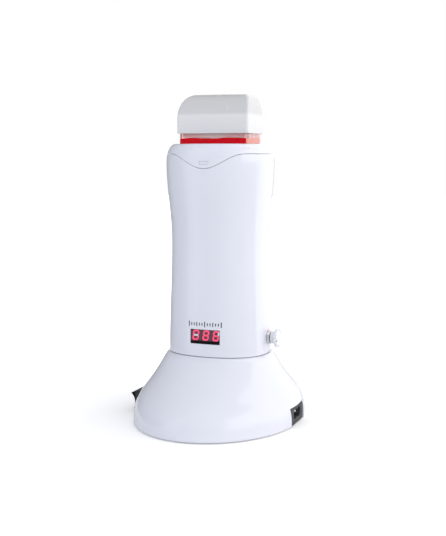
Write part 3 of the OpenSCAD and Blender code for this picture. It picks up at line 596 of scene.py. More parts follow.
def tank_profile(t):
    """Rings from the outside's floor up over the rim and down to the inside's floor."""
    rings = []
    for inset, z in ((3, 0), (1, 0.3), (0.3, 1), (0, 3)):
        rings.append(ring_of(*round_rectangle(TANK[0] - inset, TANK[1] - inset, TANK[2], t), TANK_LOW + z))
    rings += [drawn_in(TANK, 0, t, z) for z in np.linspace(TANK_LOW + 6, TANK_TOP - 0.2, 24)]
    rings += [drawn_in(TANK, inset, t, TANK_TOP) for inset in (0.2, TANK_WALL - 0.15)]
    rings += [drawn_in(TANK, TANK_WALL + WETTING, t, z) for z in (TANK_TOP - 0.2, TANK_LOW + TANK_WALL)]
    return np.stack(rings)


tank = skin("cartridge_tank", tank_profile(tank_angles), close=ENDS)
settle(tank, "cartridge", "cartridge_clear", "cartridge_body")


def wax_profile(t):
    """A filled block whose top edge ripples by a third of a millimetre and climbs at the wall."""
    a, b, r = TANK[0] - TANK_WALL - WAX_GAP, TANK[1] - TANK_WALL - WAX_GAP, TANK[2] - TANK_WALL
    ripple = 0.22 * np.sin(5 * t + 0.6) + 0.12 * np.sin(11 * t + 2.0)
    rings = [ring_of(*round_rectangle(a, b, r, t), TANK_LOW + TANK_WALL + WAX_GAP)]
    rings.append(ring_of(*round_rectangle(a, b, r, t), WAX_TOP - 0.4 + ripple))
    for inset, drop in ((0.5, 0.9), (1.5, 1.3), (4.0, 1.5), (9.0, 1.6)):
        x, y = round_rectangle(a - inset, b - inset, max(r - inset, 0.5), t)
        rings.append(ring_of(x, y, WAX_TOP - drop + ripple * 0.4))
    return np.stack(rings)


wax = skin("wax_filling", wax_profile(tank_angles), close=ENDS)
settle(wax, "cartridge", "red_wax", "wax")


# %% [markdown]
# ### The roller
# The roller turns on two stub axles in the head's cheeks. Its outline, a long cylinder with rounded shoulders
# and the stubs, is turned about its own axis.

# %% Turn the roller
roller_joint = next(j for j in frame["joints"] if j["name"] == "roller_spin")
roller_centre = np.array(roller_joint["pos_m"]) / MM
roller_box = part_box("wax_roller")
ROLLER_R = (roller_box[1].z - roller_box[0].z) / MM / 2
AXLE_END = roller_box[1].x / MM
ROLLER_HALF = 20.8
ROLLER_EDGE = 0.7
AXLE_R, AXLE_EDGE = 2.0, 0.4


def lathe(name, outline, centre, steps=96):
    """Turn (along, radius) pairs about the line along X through the centre."""
    outline, t = np.array(outline, float), whole_turn(steps)
    along = np.broadcast_to(outline[:, :1], (len(outline), steps))
    grid = np.stack([along, outline[:, 1:] * np.cos(t), outline[:, 1:] * np.sin(t)], -1)
    return skin(name, grid + centre, close=ENDS)


def shoulder(along, radius, size, side):
    """Points of a rounded shoulder, from the flat end to the round body for side -1 and back for side 1."""
    turns = quarter_turn(5)[::-side]
    return [(along - side * size * (1 - math.cos(k)), radius - size * (1 - math.sin(k))) for k in turns]


stub = [(AXLE_END, AXLE_R - AXLE_EDGE), (AXLE_END - AXLE_EDGE, AXLE_R), (ROLLER_HALF, AXLE_R)]
roller_outline = [(-along, radius) for along, radius in stub]
for side in (-1, 1):
    roller_outline += shoulder(side * ROLLER_HALF, ROLLER_R, ROLLER_EDGE, side)
roller = lathe("spreading_roller", roller_outline + stub[::-1], roller_centre)
settle(roller, "roller", "head_white", "wax_roller")


# %% [markdown]
# ## The temperature dial
# The dial stands out of the right side on a short neck. It is a thick disc with a shallow dished face and a
# finely fluted edge. The flutes are a cosine added to the radius of the rim's rings.

# %% Make the dial
knob_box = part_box("temperature_knob")
KNOB_R = (knob_box[1].z - knob_box[0].z) / MM / 2
KNOB_FACE = knob_box[1].x / MM
KNOB_HUB = knob_box[0].x / MM
KNOB_BACK = KNOB_FACE - 2.8
HUB_R = 4.8
FLUTES, FLUTE_DEPTH = 18, 0.22


def dial_profile():
    """(along, radius, flute share) from the hub's back to the middle of the face, by steps from its edges."""
    edges = (
        (KNOB_HUB, HUB_R, ((0, -1.4, 0), (0, -0.25, 0), (0.25, 0, 0))),
        (KNOB_BACK, HUB_R, ((-0.35, 0, 0), (-0.1, 0.1, 0), (0, 0.35, 0))),
        (KNOB_BACK, KNOB_R, ((0, -0.6, 0), (0.1, -0.25, 0.5), (0.35, 0, 1))),
        (KNOB_FACE, KNOB_R, ((-0.9, 0, 1), (-0.4, -0.15, 0.7), (-0.12, -0.5, 0.2), (0, -0.95, 0), (0, -1.5, 0))),
        (KNOB_FACE, KNOB_R, ((-0.1, -1.8, 0), (-0.3, -2.0, 0), (-0.36, -3.5, 0))),
        (KNOB_FACE, 0, ((-0.4, 1.2, 0),)),
    )
    return np.array([(x + dx, r + dr, flute) for x, r, steps in edges for dx, dr, flute in steps])


def dial_surface():
    """Turn the dial's profile, with radius = r - depth * share * (1 + cos(18 t)) / 2."""
    outline, t = dial_profile(), whole_turn(16 * FLUTES)
    radius = outline[:, 1:2] - FLUTE_DEPTH * outline[:, 2:3] * (1 + np.cos(FLUTES * t)) / 2
    x = np.broadcast_to(outline[:, :1], radius.shape)
    return np.stack([x, radius * np.cos(t), DIAL_Z + radius * np.sin(t)], -1)


dial = skin("dial_disc", dial_surface(), close=ENDS, sharp_degrees=40)
settle(dial, "dial", "knob_white", "temperature_knob")


# %% [markdown]
# The dial's pointer dot stands a few hundredths of a millimetre above the face, as a pad print does. Two small black
# marks at the top and bottom of the face stand the same way; they are painted shade where the rim is shaded. A red
# index dot stands above the dial on the body.

# %% Print the pointer, and paint the shade marks and the index dot
INK = 0.04
INK_ROOT = 0.45
DOT_Z = DIAL_Z + 5.8


def disc_x(name, radius, x0, x1, y, z):
    """A small disc that faces along X, with a soft edge."""
    outline = [(x0, radius), (x1 - 0.02, radius), (x1, radius - 0.05)]
    return lathe(name, outline, (0, y, z), steps=40)


low, high = KNOB_FACE - INK_ROOT, KNOB_FACE + INK
settle(disc_x("pointer_dot", 0.75, low, high, -KNOB_R + 1.25, DIAL_Z - 1.3), "dial", "cutout_black")
# Painted shade: two small black marks at the top and bottom of the face's rim, where the rim is shaded.
for number, (y, z) in enumerate(((0.9, 5.7), (-1.2, -5.6))):
    ends = [(x, y + side * 0.7, DIAL_Z + z + side * 0.22) for x, side in ((low, -1), (high, 1))]
    settle(slab(f"dial_painted_shade_{number}", *ends, 0.2, axis=0), "dial", "cutout_black")
# The printed index dot takes red_lamp, the glowing red of the lit bars: a painted glow on a dot that is no lamp.
dot_a = body_size(DOT_Z)[0]
settle(disc_x("index_dot", 0.8, dot_a - 0.6, dot_a + 0.03, 0.0, DOT_Z), "handset", "red_lamp")


# %% [markdown]
# ## The display
# The display is a black module behind the window, with three figures of seven slanted bars. Each bar is a thin
# six-sided tile. Lit bars glow red, and the unlit ones are pale. Each figure leaves at most one bar dark. The
# figures stand a little to the right in their window, so the third is cut by the edge.

# %% Make the display
display_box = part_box("display_module")
FACE_Y = display_box[0].y / MM
DISPLAY_HALF = (display_box[1].x / MM, (display_box[1].z - display_box[0].z) / MM / 2)
case_low = (-DISPLAY_HALF[0], FACE_Y, WINDOW[2] - DISPLAY_HALF[1])
case_high = (DISPLAY_HALF[0], display_box[1].y / MM, WINDOW[2] + DISPLAY_HALF[1])
display_case = rounded(slab("display_case", case_low, case_high, 0.5), 0.15, 2)
settle(display_case, "handset", "black_gloss", "display_module")

FIGURE_W, FIGURE_H, FIGURE_PITCH = 5.0, 7.7, 7.9
FIRST_X, FIGURE_Z = -7.2, WINDOW[2] + 1.05
BAR_T, BAR_GAP, SLANT = 1.25, 0.16, 0.14
BARS = {
    "top": (0, 1, True), "middle": (0, 0, True), "bottom": (0, -1, True),
    "upper_left": (-1, 0.5, False), "upper_right": (1, 0.5, False),
    "lower_left": (-1, -0.5, False), "lower_right": (1, -0.5, False),
}
DARK_BAR = {"0": "middle", "8": "none", "6": "upper_right"}


def bar_points(across, up, level):
    """The six corners of one bar about the figure's centre: a strip with pointed ends."""
    length = (FIGURE_W if level else FIGURE_H / 2) - BAR_T
    half, t = length / 2 - BAR_GAP + BAR_T * 0.32, BAR_T / 2
    inner = half - t * 0.9
    strip = [(-half, 0), (-inner, t), (inner, t), (half, 0), (inner, -t), (-inner, -t)]
    x0, z0 = across * (FIGURE_W - BAR_T) / 2, up * (FIGURE_H - BAR_T) / 2
    return [(x0 + (p if level else q), z0 + (q if level else p)) for p, q in strip]


def tile(name, points, depth=0.05):
    """A thin flat tile on the display's face, through points (x, z) in order."""
    right = DISPLAY_HALF[0] - 0.1
    front = np.array([(min(x + SLANT * (z - FIGURE_Z), right), FACE_Y - depth, z) for x, z in points])
    back = front + [0, depth + 0.1, 0]
    return skin(name, np.stack([back, front]), close=ENDS)


def join(name, parts):
    """Make several objects one."""
    bm = bmesh.new()
    for part in parts:
        bm.from_mesh(part.data)
        bpy.data.objects.remove(part)
    mesh = bpy.data.meshes.new(name)
    bm.to_mesh(mesh)
    bm.free()
    tidy(mesh)
    return add_object(name, mesh)


lit, unlit = [], []
for place, figure in enumerate("086"):
    centre = FIRST_X + place * FIGURE_PITCH
    for bar, (across, up, level) in BARS.items():
        points = [(centre + x, FIGURE_Z + z) for x, z in bar_points(across, up, level)]
        (unlit if bar == DARK_BAR[figure] else lit).append(tile(f"bar_{place}_{bar}", points))
settle(join("lit_bars", lit), "handset", "red_lamp")
settle(join("unlit_bars", unlit), "handset", "indicator_clear")


# %% [markdown]
# Above the window is a plain printed scale without words: ticks, with longer ones at the ends and the middle.

# %% Print the scale
SCALE_Z, SCALE_HALF, TICKS = 76.3, 12.6, 13
TICK_W, INK_DEEP = 0.75, 0.15
TALL, MIDDLING, SHORT = 4.0, 3.0, 2.1


def printed_on_body(name, x, z, width, height):
    """A small bar of ink on the body's front: its grid takes its depth from the body's surface."""
    u = np.linspace(-0.5, 0.5, 7)[None, :]
    v = np.linspace(-0.5, 0.5, 5)[:, None]
    xs, zs = x + u * width + 0 * v, z + v * height + 0 * u
    a, b = body_size(zs)
    depth = b * (1 - np.abs(xs / a) ** BODY_N) ** (1 / BODY_N)
    outer = np.stack([xs, -(depth + INK / 2), zs], -1)
    inner = np.stack([xs, -(depth - INK_DEEP), zs], -1)
    return skin(name, np.concatenate([outer, inner[:, ::-1]], 1), close=ENDS)


scale = []
for tick in range(TICKS):
    tall = TALL if tick % 6 == 0 else (MIDDLING if tick % 3 == 0 else SHORT)
    place = -SCALE_HALF + 2 * SCALE_HALF * tick / (TICKS - 1)
    scale.append(printed_on_body("tick", place, SCALE_Z, TICK_W, tall))
settle(join("printed_scale", scale), "handset", "cutout_black")


# %% [markdown]
# ## The switch and the mains inlet
# On the left, a rocker with a dished face tips in a black frame and rests with its upper end out. Its edges
# are rounded, because it is the one black shape that breaks the white silhouette.

# %% Make the rocker and round the black pieces
rocker_joint = next(j for j in frame["joints"] if j["name"] == "rocker_tilt")
ROCKER_PIVOT = np.array(rocker_joint["pos_m"]) / MM
ROCKER_TIP, ROCKER_TILT, DISH_R = (5.8, 6.1), 10.0, 9.5
ROCKER_HEEL = ((1.5, 6.3), (1.0, 5.2), (-2.2, 2.4))
ROCKER_HALF = 12.2
PIN_R, PIN_OUT = 1.0, 1.1


def rocker_outline():
    """(out, up) points: the dished face as an arc from tip to tip, then the back."""
    reach = math.asin(ROCKER_TIP[1] / DISH_R)
    arc = np.linspace(reach, -reach, 25)
    out = ROCKER_TIP[0] + DISH_R * math.cos(reach) - DISH_R * np.cos(arc)
    face = list(zip(out, DISH_R * np.sin(arc)))
    back = [(p, -q) for p, q in ROCKER_HEEL] + [(p, q) for p, q in ROCKER_HEEL[::-1]]
    return np.array(face + back)


def make_rocker():
    """Extrude the outline along Y, round it, add the pin and tip it about the pivot."""
    outline = rocker_outline()
    out, up = -outline[:, 0], outline[:, 1]
    ends = [np.stack([out, np.full_like(out, y), up], -1) for y in (-ROCKER_HALF, ROCKER_HALF)]
    piece = skin("rocker_paddle", np.stack(ends), close=ENDS)
    rounded(piece, 0.55, 4, 25)
    pin = rod("pin", PIN_R, (0, -ROCKER_HALF - PIN_OUT, 0), (0, ROCKER_HALF + PIN_OUT, 0))
    cut(piece, pin, operation="UNION")
    turn = Matrix.Rotation(math.radians(-ROCKER_TILT), 4, "Y")
    piece.data.transform(Matrix.Translation(Vector(ROCKER_PIVOT * MM)) @ turn)
    return piece


settle(make_rocker(), "rocker", "black_gloss", "power_rocker")


# %% [markdown]
# The frames of the switch and the inlet are copies of the plain solids, with their edges rounded to catch a
# thin line of light.

# %% Round the edges of plain solids
def softened(node, name, radius):
    """A copy of a plain solid of the base with rounded edges, which stands for it."""
    mesh = nodes[node].data.copy()
    mesh.name = name
    bm = bmesh.new()
    bm.from_mesh(mesh)
    bmesh.ops.remove_doubles(bm, verts=bm.verts, dist=1e-6)
    bmesh.ops.dissolve_limit(bm, angle_limit=math.radians(2), verts=bm.verts, edges=bm.edges)
    bm.to_mesh(mesh)
    bm.free()
    mesh.materials.clear()
    piece = add_object(name, mesh)
    rounded(piece, radius, 2)
    settle(piece, "base", "black_plastic", node)


softened("switch_body", "switch_frame", 0.25)
softened("power_inlet", "inlet_insert", 0.3)


# %% [markdown]
# ## Finishes
# Shader maths is easier to read as plain expressions, so a small class wraps an output socket: its operators
# add the Math nodes. One method makes any other node, from its type, its settings and its inputs.

# %% Classes for shader sockets and trees
def operator(operation, turned=False):
    """A method that adds one Math node. When turned, the wire is its second input."""
    def apply(self, other):
        return self.maths(operation, *((other, self) if turned else (self, other)))
    return apply


class Wire:
    """An output socket that can be added, subtracted, multiplied or raised to a power."""

    def __init__(self, tree, socket):
        self.tree, self.socket = tree, socket

    def maths(self, operation, first, second):
        """Add a Math node and give its output."""
        return self.tree.node("ShaderNodeMath", {"operation": operation}, {0: first, 1: second})

    __add__, __radd__ = operator("ADD"), operator("ADD", True)
    __sub__, __rsub__ = operator("SUBTRACT"), operator("SUBTRACT", True)
    __mul__, __rmul__ = operator("MULTIPLY"), operator("MULTIPLY", True)
    __pow__ = operator("POWER")

    def between(self, low, high):
        """0 below low, 1 above high, and smooth between."""
        settings = {"interpolation_type": "SMOOTHSTEP"}
        inputs = {"Value": self, "From Min": low, "From Max": high}
        return self.tree.node("ShaderNodeMapRange", settings, inputs)


class Tree:
    """A node tree of a material or the world."""

    def __init__(self, nodes, links):
        self.nodes, self.links = nodes, links

    def feed(self, socket, value):
        """Give a socket a number, a colour or a wire."""
        if isinstance(value, Wire):
            self.links.new(value.socket, socket)
        else:
            socket.default_value = (*value, 1.0) if socket.type == "RGBA" else value

    def node(self, kind, settings, inputs, output=0):
        """Add a node: settings first, then values or wires by socket, and give one output as a wire."""
        made = self.nodes.new(kind)
        for key, value in settings.items():
            setattr(made, key, value)
        for key, value in inputs.items():
            self.feed(made.inputs[key], value)
        return Wire(self, made.outputs[output])

    def mix(self, share, first, second):
        """Blend two colours by a share."""
        return self.node("ShaderNodeMix", {"data_type": "RGBA"}, {0: share, 6: first, 7: second}, 2)

    def ray_kind(self, name):
        """1 for rays of one kind."""
        return self.node("ShaderNodeLightPath", {}, {}, name)


class Finish(Tree):
    """One material: its tree, its Principled shader and the wires that feed it."""

    def __init__(self, name, **constants):
        self.material = bpy.data.materials.new(name)
        self.material.use_nodes = True
        super().__init__(self.material.node_tree.nodes, self.material.node_tree.links)
        self.shader = self.nodes["Principled BSDF"]
        self.place = self.node("ShaderNodeTexCoord", {}, {}, "Object")
        for socket, value in constants.items():
            self.set(socket.replace("_", " "), value)

    def set(self, socket, value):
        """Feed one socket of the shader."""
        self.feed(self.shader.inputs[socket], value)

    def noise(self, scale, detail=2.0, rough=0.5, vector=None):
        """Noise between 0 and 1, with scale in turns per metre."""
        inputs = {"Vector": vector or self.place, "Scale": scale, "Detail": detail, "Roughness": rough}
        return self.node("ShaderNodeTexNoise", {}, inputs, "Fac")

    def axis(self, name):
        """One coordinate of the place, in metres."""
        return self.node("ShaderNodeSeparateXYZ", {}, {"Vector": self.place}, name)

    def stretched(self, *scale):
        """The place, stretched along the axes."""
        return self.node("ShaderNodeMapping", {}, {"Vector": self.place, "Scale": scale})

    def looks(self, colour, rough, height=None, strength=0.0, distance=0.0):
        """Set the colour, the roughness and a bump, whose height wire rises by distance in metres."""
        self.set("Base Color", colour)
        self.set("Roughness", rough)
        if height:
            inputs = {"Height": height, "Strength": strength, "Distance": distance}
            self.set("Normal", self.node("ShaderNodeBump", {}, inputs))
        return self.material


# %% [markdown]
# ### White mouldings
# The main white is cool, with a hint of lavender. It is polished, but no moulding is a perfect mirror: it has
# a faint long ripple, and its gloss varies a little.

# %% White plastics
def simple(name, ior, cloud, colours, gloss, grain=None, **more):
    """Two colours blended by noise (scale, detail, power), a gloss (least, span, scale, detail), and a bump
    (scale, detail, strength, distance)."""
    f = Finish(name, IOR=ior, **more)
    share = f.noise(*cloud[:2]) if cloud[2] == 1 else f.noise(*cloud[:2]) ** cloud[2]
    bump = (f.noise(*grain[:2]), *grain[2:]) if grain else ()
    return f.looks(f.mix(share, *colours), gloss[0] + gloss[1] * f.noise(*gloss[2:]), *bump)


def moulded_white(name, colour, gloss, ripple=1.0):
    """Glossy moulding: a pale colour with slight cloudiness, varying gloss and a long soft ripple."""
    f = Finish(name, IOR=1.5, Coat_Weight=0.6, Coat_Roughness=0.03)
    shade = tuple(c * 0.975 for c in colour)
    height = f.noise(45, 2) * 0.7 + f.noise(900, 1) * 0.06
    gloss = gloss + 0.05 * f.noise(60, 4, 0.6)
    return f.looks(f.mix(f.noise(18, 3), shade, colour), gloss, height, 0.12 * ripple, 0.0006)


def pearl(name):
    """The cap: pearly and slightly translucent. Its lower part is painted paler: a painted glow for the light that the
    roller's head scatters back through it.
    """
    f = Finish(name, IOR=1.5, Coat_Weight=0.2, Coat_Roughness=0.08)
    f.set("Subsurface Weight", 0.12)
    f.set("Subsurface Radius", (0.004, 0.004, 0.004))
    cloud = f.noise(40, 3)
    thin = f.mix(cloud, (0.595, 0.59, 0.60), (0.63, 0.625, 0.635))
    painted_head_glow = f.mix(cloud, (0.725, 0.725, 0.735), (0.76, 0.76, 0.77))
    # Painted glow: below the roller's top the cap is painted paler, standing for light the head scatters through it;
    # above, it keeps the darker tone.
    colour = f.mix(f.axis("Z").between(0.2275, 0.2305), painted_head_glow, thin)
    return f.looks(colour, 0.22 + 0.08 * f.noise(120, 3), f.noise(70, 2), 0.1, 0.0005)


# %% [markdown]
# ### Wax
# The wax is a deep red resin. Its narrow right end is painted paler: a painted sheen for the light that the lit right
# side mirrors and scatters.

# %% Wax
def wax_resin(name):
    """Deep red wax, with darker clouds and a wet surface."""
    f = Finish(name, IOR=1.35, Specular_IOR_Level=0.1)
    deep = f.mix(f.noise(70, 4), (0.72, 0.001, 0.010), (0.90, 0.002, 0.020))
    # Painted sheen: beyond 25 mm to the right the wax is painted pale pink, where the lit side mirrors and scatters
    # light.
    colour = f.mix(f.axis("X").between(0.0250, 0.0256), deep, (0.95, 0.52, 0.46))
    return f.looks(colour, 0.2 + 0.15 * f.noise(90, 3), f.noise(110, 3), 0.3, 0.0006)


# %% [markdown]
# ### Blacks, metals and the rest
# The blacks differ by texture: a fine satin on the frames, and a polish on the rocker and the display. Metals
# are drawn or plated, so their gloss is stretched along one direction or clouded.

# %% Black, metal, light and board
def satin(name, colour, grain):
    """Textured moulding: fine grain in the bump, and parts rubbed slightly paler."""
    worn = (colour, tuple(3 * c + 0.01 for c in colour))
    return simple(name, 1.5, (200, 4, 3), worn, (0.4, 0.15, 300, 3), (grain, 2, 0.35, 0.00012))


def polished_black(name):
    """Polished black with faint wiping marks. Round the figures it has a painted glow, standing for a little of the
    bars' light scattered in it.
    """
    f = Finish(name, IOR=1.45, Specular_IOR_Level=0.15, Emission_Strength=1.0)
    up, low, high = f.axis("Z"), (FIGURE_Z - 4.3) * MM, (FIGURE_Z + 4.2) * MM
    painted_bar_glow = up.between(low, low + 0.6 * MM) * (1 - up.between(high - 0.6 * MM, high))
    # Painted glow: a faint pink emission in the band round the figures.
    f.set("Emission Color", f.mix(painted_bar_glow, (0, 0, 0), (0.10, 0.055, 0.085)))
    colour = f.mix(f.noise(90, 3), (0.0015, 0.001, 0.002), (0.004, 0.003, 0.005))
    return f.looks(colour, 0.14 + 0.14 * f.noise(250, 4), f.noise(500, 2), 0.08, 0.0002)


def metal(name, colour, gloss, drawn=(1, 1, 1)):
    """Metal with clouded gloss, stretched along the direction in which it was drawn."""
    f = Finish(name, Metallic=1.0)
    streaks = f.noise(700, 4, 0.6, f.stretched(*drawn))
    clouded = f.mix(streaks, tuple(0.85 * c for c in colour), colour)
    return f.looks(clouded, gloss + 0.16 * streaks, streaks, 0.08, 0.0002)


def glowing_red(name):
    """Lit bars: red plastic that gives off its own colour, slightly uneven from tile to tile. The printed index dot
    takes it too, as a painted glow.
    """
    f = Finish(name, IOR=1.45, Emission_Strength=1.0)
    glow = f.noise(260, 2)
    f.set("Emission Color", f.mix(glow, (0.62, 0.045, 0.115), (0.85, 0.10, 0.19)))
    return f.looks(f.mix(glow, (0.35, 0.01, 0.03), (0.5, 0.02, 0.05)), 0.35 + 0.1 * f.noise(300, 2))


def fibre(name):
    """Pressed fibre: a pale felted sheet with long hairs."""
    f = Finish(name, IOR=1.4)
    hairs = f.noise(1500, 5, 0.7, f.stretched(1, 0.2, 0.2))
    colour = f.mix(hairs, (0.62, 0.55, 0.42), (0.80, 0.75, 0.62))
    return f.looks(colour, 0.85 + 0.1 * hairs, hairs, 0.5, 0.0003)


def board_green(name):
    """Lacquered laminate: copper areas show as lighter green blocks under the lacquer."""
    f = Finish(name, IOR=1.5, Coat_Weight=0.4, Coat_Roughness=0.1)
    settings, inputs = {"distance": "CHEBYCHEV", "feature": "F1"}, {"Vector": f.place, "Scale": 260.0}
    copper = f.node("ShaderNodeTexVoronoi", settings, inputs, "Distance").between(0.35, 0.4)
    colour = f.mix(copper, (0.012, 0.11, 0.04), (0.02, 0.2, 0.08))
    return f.looks(colour, 0.3 + 0.1 * f.noise(400, 2), copper, 0.2, 0.0001)


# %% [markdown]
# Each slot of the record takes one finish. Five are one recipe with other numbers: the index of refraction, the
# cloud, its two colours, the gloss and the bump. The tank is one of them, clear with a blush of wax.

# %% Give every piece its finish
WHITE = (0.768, 0.780, 0.853)
RECIPES = {
    "white_inner": (1.48, (30, 3, 1), ((0.70, 0.70, 0.73), (0.76, 0.76, 0.79)), (0.38, 0.12, 150, 3),
                    (2600, 2, 0.25, 0.0001)),
    "cartridge_clear": (1.2, (120, 3, 1), ((0.97, 0.72, 0.71), (1.0, 0.78, 0.77)), (0.04, 0.04, 200, 3),
                        (160, 2, 0.1, 0.0004)),
    "dark_rubber": (1.52, (150, 4, 1), ((0.03, 0.03, 0.032), (0.055, 0.055, 0.057)), (0.75, 0.15, 400, 3),
                    (1800, 3, 0.4, 0.0002)),
    "indicator_clear": (1.45, (300, 3, 1), ((0.70, 0.715, 0.80), (0.74, 0.755, 0.84)), (0.2, 0.1, 300, 3)),
    "heater_ceramic": (1.6, (800, 4, 2), ((0.16, 0.07, 0.035), (0.38, 0.22, 0.12)), (0.5, 0.2, 500, 3),
                       (1200, 3, 0.3, 0.0002)),
}
COAT = {"Coat_Weight": 0.3, "Coat_Roughness": 0.08}
EXTRAS = {"cartridge_clear": {"Transmission_Weight": 1.0}, "indicator_clear": COAT}
SPECIAL = {
    "white_gloss": (moulded_white, WHITE, 0.06),
    "knob_white": (moulded_white, (0.79, 0.79, 0.82), 0.14, 0.5),
    "head_white": (moulded_white, (0.78, 0.78, 0.80), 0.2, 0.5),
    "cap_pearl": (pearl,),
    "red_wax": (wax_resin,),
    "black_plastic": (satin, (0.014, 0.014, 0.016), 3200),
    "cutout_black": (satin, (0.02, 0.02, 0.024), 3200),
    "tray_plastic": (satin, (0.52, 0.47, 0.38), 1800),
    "black_gloss": (polished_black,),
    "screw_steel": (metal, (0.56, 0.56, 0.58), 0.3),
    "plated_brass": (metal, (0.85, 0.62, 0.28), 0.2),
    "plated_steel": (metal, (0.93, 0.93, 0.95), 0.3, (1, 0.1, 1)),
    "well_aluminium": (metal, (0.76, 0.76, 0.78), 0.3, (1, 1, 0.06)),
    "red_lamp": (glowing_red,),
    "pad_fibre": (fibre,),
    "green_board": (board_green,),
}
finishes = {name: simple(name, *recipe, **EXTRAS.get(name, {})) for name, recipe in RECIPES.items()}
finishes.update({name: make(name, *numbers) for name, (make, *numbers) in SPECIAL.items()})
slot_of = {part["node"]: part["material_slot"] for part in frame["record"]["subparts"]}


for node, piece in nodes.items():
    if not piece.data.materials:
        piece.data.materials.append(None)
    for place in piece.material_slots:
        place.material = finishes[slot_of[node]]
for piece in bpy.context.scene.objects:
    if piece.get("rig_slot") and "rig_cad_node" not in piece:
        piece.data.materials.clear()
        piece.data.materials.append(finishes[piece["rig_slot"]])
print("finishes:", len(finishes))


# %% [markdown]
# ## Floor and light
# The object stands on a white floor in a white surround. Five lamps and an even cool fill give the plain light.
# What the polish mirrors is drawn apart from them, as with a studio's cards: one on the left ends sharply and
# draws the clean line down the left of the body, and a larger one on the right gives the base its curved edge.
# The cards stand still in the room. Their places are degrees to the right of the photo's own view, seen from
# the object, and the height of the way out, from 0 level to 1 overhead.

# %% Draw the cards that the polish mirrors
LEFT_CARD, RIGHT_CARD, CEILING, REST = 0.5, 1.1, 0.15, 0.3
LEFT_EDGE, LEFT_FADE, LEFT_TOP = (-74, -72), (-56, -40), (0.7, 0.8)
FAR_EDGE, FAR_FADE = (76, 84), (140, 178)
LOW_EDGE, LOW_FOOT, LOW_TOP = (26, 30), (0.01, 0.05), (0.70, 0.74)
CEILING_EDGE = (0.6, 0.85)


def panorama(tree, way):
    """Brightness of the surround along a way out from the object. A place on the floor is such a way too."""
    theta = math.radians(VIEW_AZIMUTH)

    def along(*axis):
        return tree.node("ShaderNodeVectorMath", {"operation": "DOT_PRODUCT"}, {0: way, 1: axis}, "Value")

    across = along(math.cos(theta), math.sin(theta), 0)
    near = along(math.sin(theta), -math.cos(theta), 0)
    up = along(0, 0, 1)
    turn = across.maths("ARCTAN2", across, near) * (180 / math.pi)
    left = turn.between(*LEFT_EDGE) * (1 - turn.between(*LEFT_FADE)) * (1 - up.between(*LEFT_TOP))
    far_right = turn.between(*FAR_EDGE) * (1 - turn.between(*FAR_FADE))
    low_right = turn.between(*LOW_EDGE) * up.between(*LOW_FOOT) * (1 - up.between(*LOW_TOP))
    right = far_right.maths("MAXIMUM", far_right, low_right)
    ceiling = up.between(*CEILING_EDGE) * (1 - right)
    return REST + LEFT_CARD * left + RIGHT_CARD * right + CEILING * ceiling


# %% Make the floor
FLOOR_HALF = 4000.0
GLOW_NEAR, GLOW_EDGE, CARDS_EDGE = 0.25, (0.08, 0.35), (0.2, 0.4)


def make_floor():
    """A flat sheet under the feet. Far out the camera sees it glow white, and mirrors see the cards."""
    grid = np.array([[(-1, -1, 0), (1, -1, 0)], [(-1, 1, 0), (1, 1, 0)]]) * FLOOR_HALF
    floor = skin("floor", grid, wrap_columns=False)
    f = Finish("floor_white", Roughness=0.6, Emission_Color=(1, 1, 1))
    f.set("Base Color", f.mix(f.noise(3, 2), (0.90, 0.90, 0.905), (0.93, 0.93, 0.935)))
    away = f.node("ShaderNodeVectorMath", {"operation": "LENGTH"}, {0: f.place}, "Value")
    seen = f.ray_kind("Is Camera Ray")
    f.set("Emission Strength", seen * (GLOW_NEAR + away.between(*GLOW_EDGE)))
    cards = f.node("ShaderNodeEmission", {}, {"Strength": panorama(f, f.place)})
    mirrored = f.ray_kind("Is Glossy Ray") * (1 - seen) * away.between(*CARDS_EDGE)
    both = f.node("ShaderNodeMixShader", {}, {0: mirrored, 1: Wire(f, f.shader.outputs[0]), 2: cards})
    f.feed(f.nodes["Material Output"].inputs["Surface"], both)
    floor.data.materials.append(f.material)


make_floor()


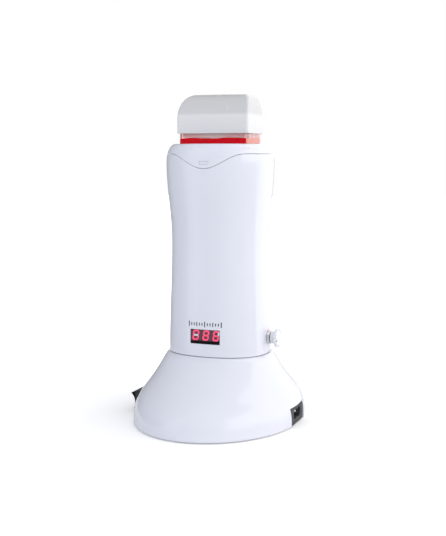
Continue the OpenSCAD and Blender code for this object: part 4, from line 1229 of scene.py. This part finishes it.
# %% Light the scene
def soft_lamp(name, place, width, height, radiance, colour=(1, 1, 1), aim=(0, 0, 0.12)):
    """A rectangular lamp that faces a point and that mirrors don't see. Its power is radiance x area x pi."""
    lamp = bpy.data.lights.new(name, "AREA")
    lamp.shape, lamp.size, lamp.size_y = "RECTANGLE", width, height
    lamp.energy, lamp.color = radiance * width * height * math.pi, colour
    piece = bpy.data.objects.new(name, lamp)
    piece.location = place
    piece.rotation_euler = (Vector(aim) - Vector(place)).to_track_quat("-Z", "Y").to_euler()
    piece.visible_glossy = False
    bpy.context.scene.collection.objects.link(piece)


def round_the_object(angle, distance, height):
    """A place at an angle from the camera's own direction, counted to the right."""
    turn = math.radians(VIEW_AZIMUTH + angle)
    return (distance * math.sin(turn), -distance * math.cos(turn), height)


def make_world(strength, colour):
    """Even cool light for the object. The camera sees pure white, and mirrors see the cards."""
    world = bpy.data.worlds.new("surround")
    bpy.context.scene.world = world
    world.use_nodes = True
    world.node_tree.nodes.clear()
    tree = Tree(world.node_tree.nodes, world.node_tree.links)
    way = tree.node("ShaderNodeTexCoord", {}, {}, "Generated")

    def background(colour, strength):
        return tree.node("ShaderNodeBackground", {}, {"Color": colour, "Strength": strength})

    def either(share, first, second):
        return tree.node("ShaderNodeMixShader", {}, {0: share, 1: first, 2: second})

    white = (1, 1, 1)
    light = either(tree.ray_kind("Is Glossy Ray"), background(colour, strength), background(white, panorama(tree, way)))
    seen, through = tree.ray_kind("Is Camera Ray"), tree.ray_kind("Is Transmission Ray")
    surround = either(seen.maths("MAXIMUM", seen, through), light, background(white, 1.0))
    tree.feed(tree.nodes.new("ShaderNodeOutputWorld").inputs["Surface"], surround)


make_world(0.57, (0.92, 0.945, 1.0))
soft_lamp("left_softbox", round_the_object(-60, 1.4, 0.35), 1.0, 1.5, 0.96, (0.81, 0.87, 1.0))
soft_lamp("front_softbox", round_the_object(25, 1.6, 0.6), 1.4, 1.4, 1.28)
soft_lamp("side_softbox", round_the_object(65, 1.4, 0.5), 1.2, 1.3, 0.85, (1.0, 0.99, 0.96))
soft_lamp("right_softbox", round_the_object(105, 1.2, 0.45), 1.2, 1.3, 0.96, (1.0, 0.985, 0.94))
soft_lamp("top_softbox", (0.25, -0.3, 1.4), 1.2, 1.2, 0.8)
bpy.context.scene.view_settings.view_transform = "Standard"
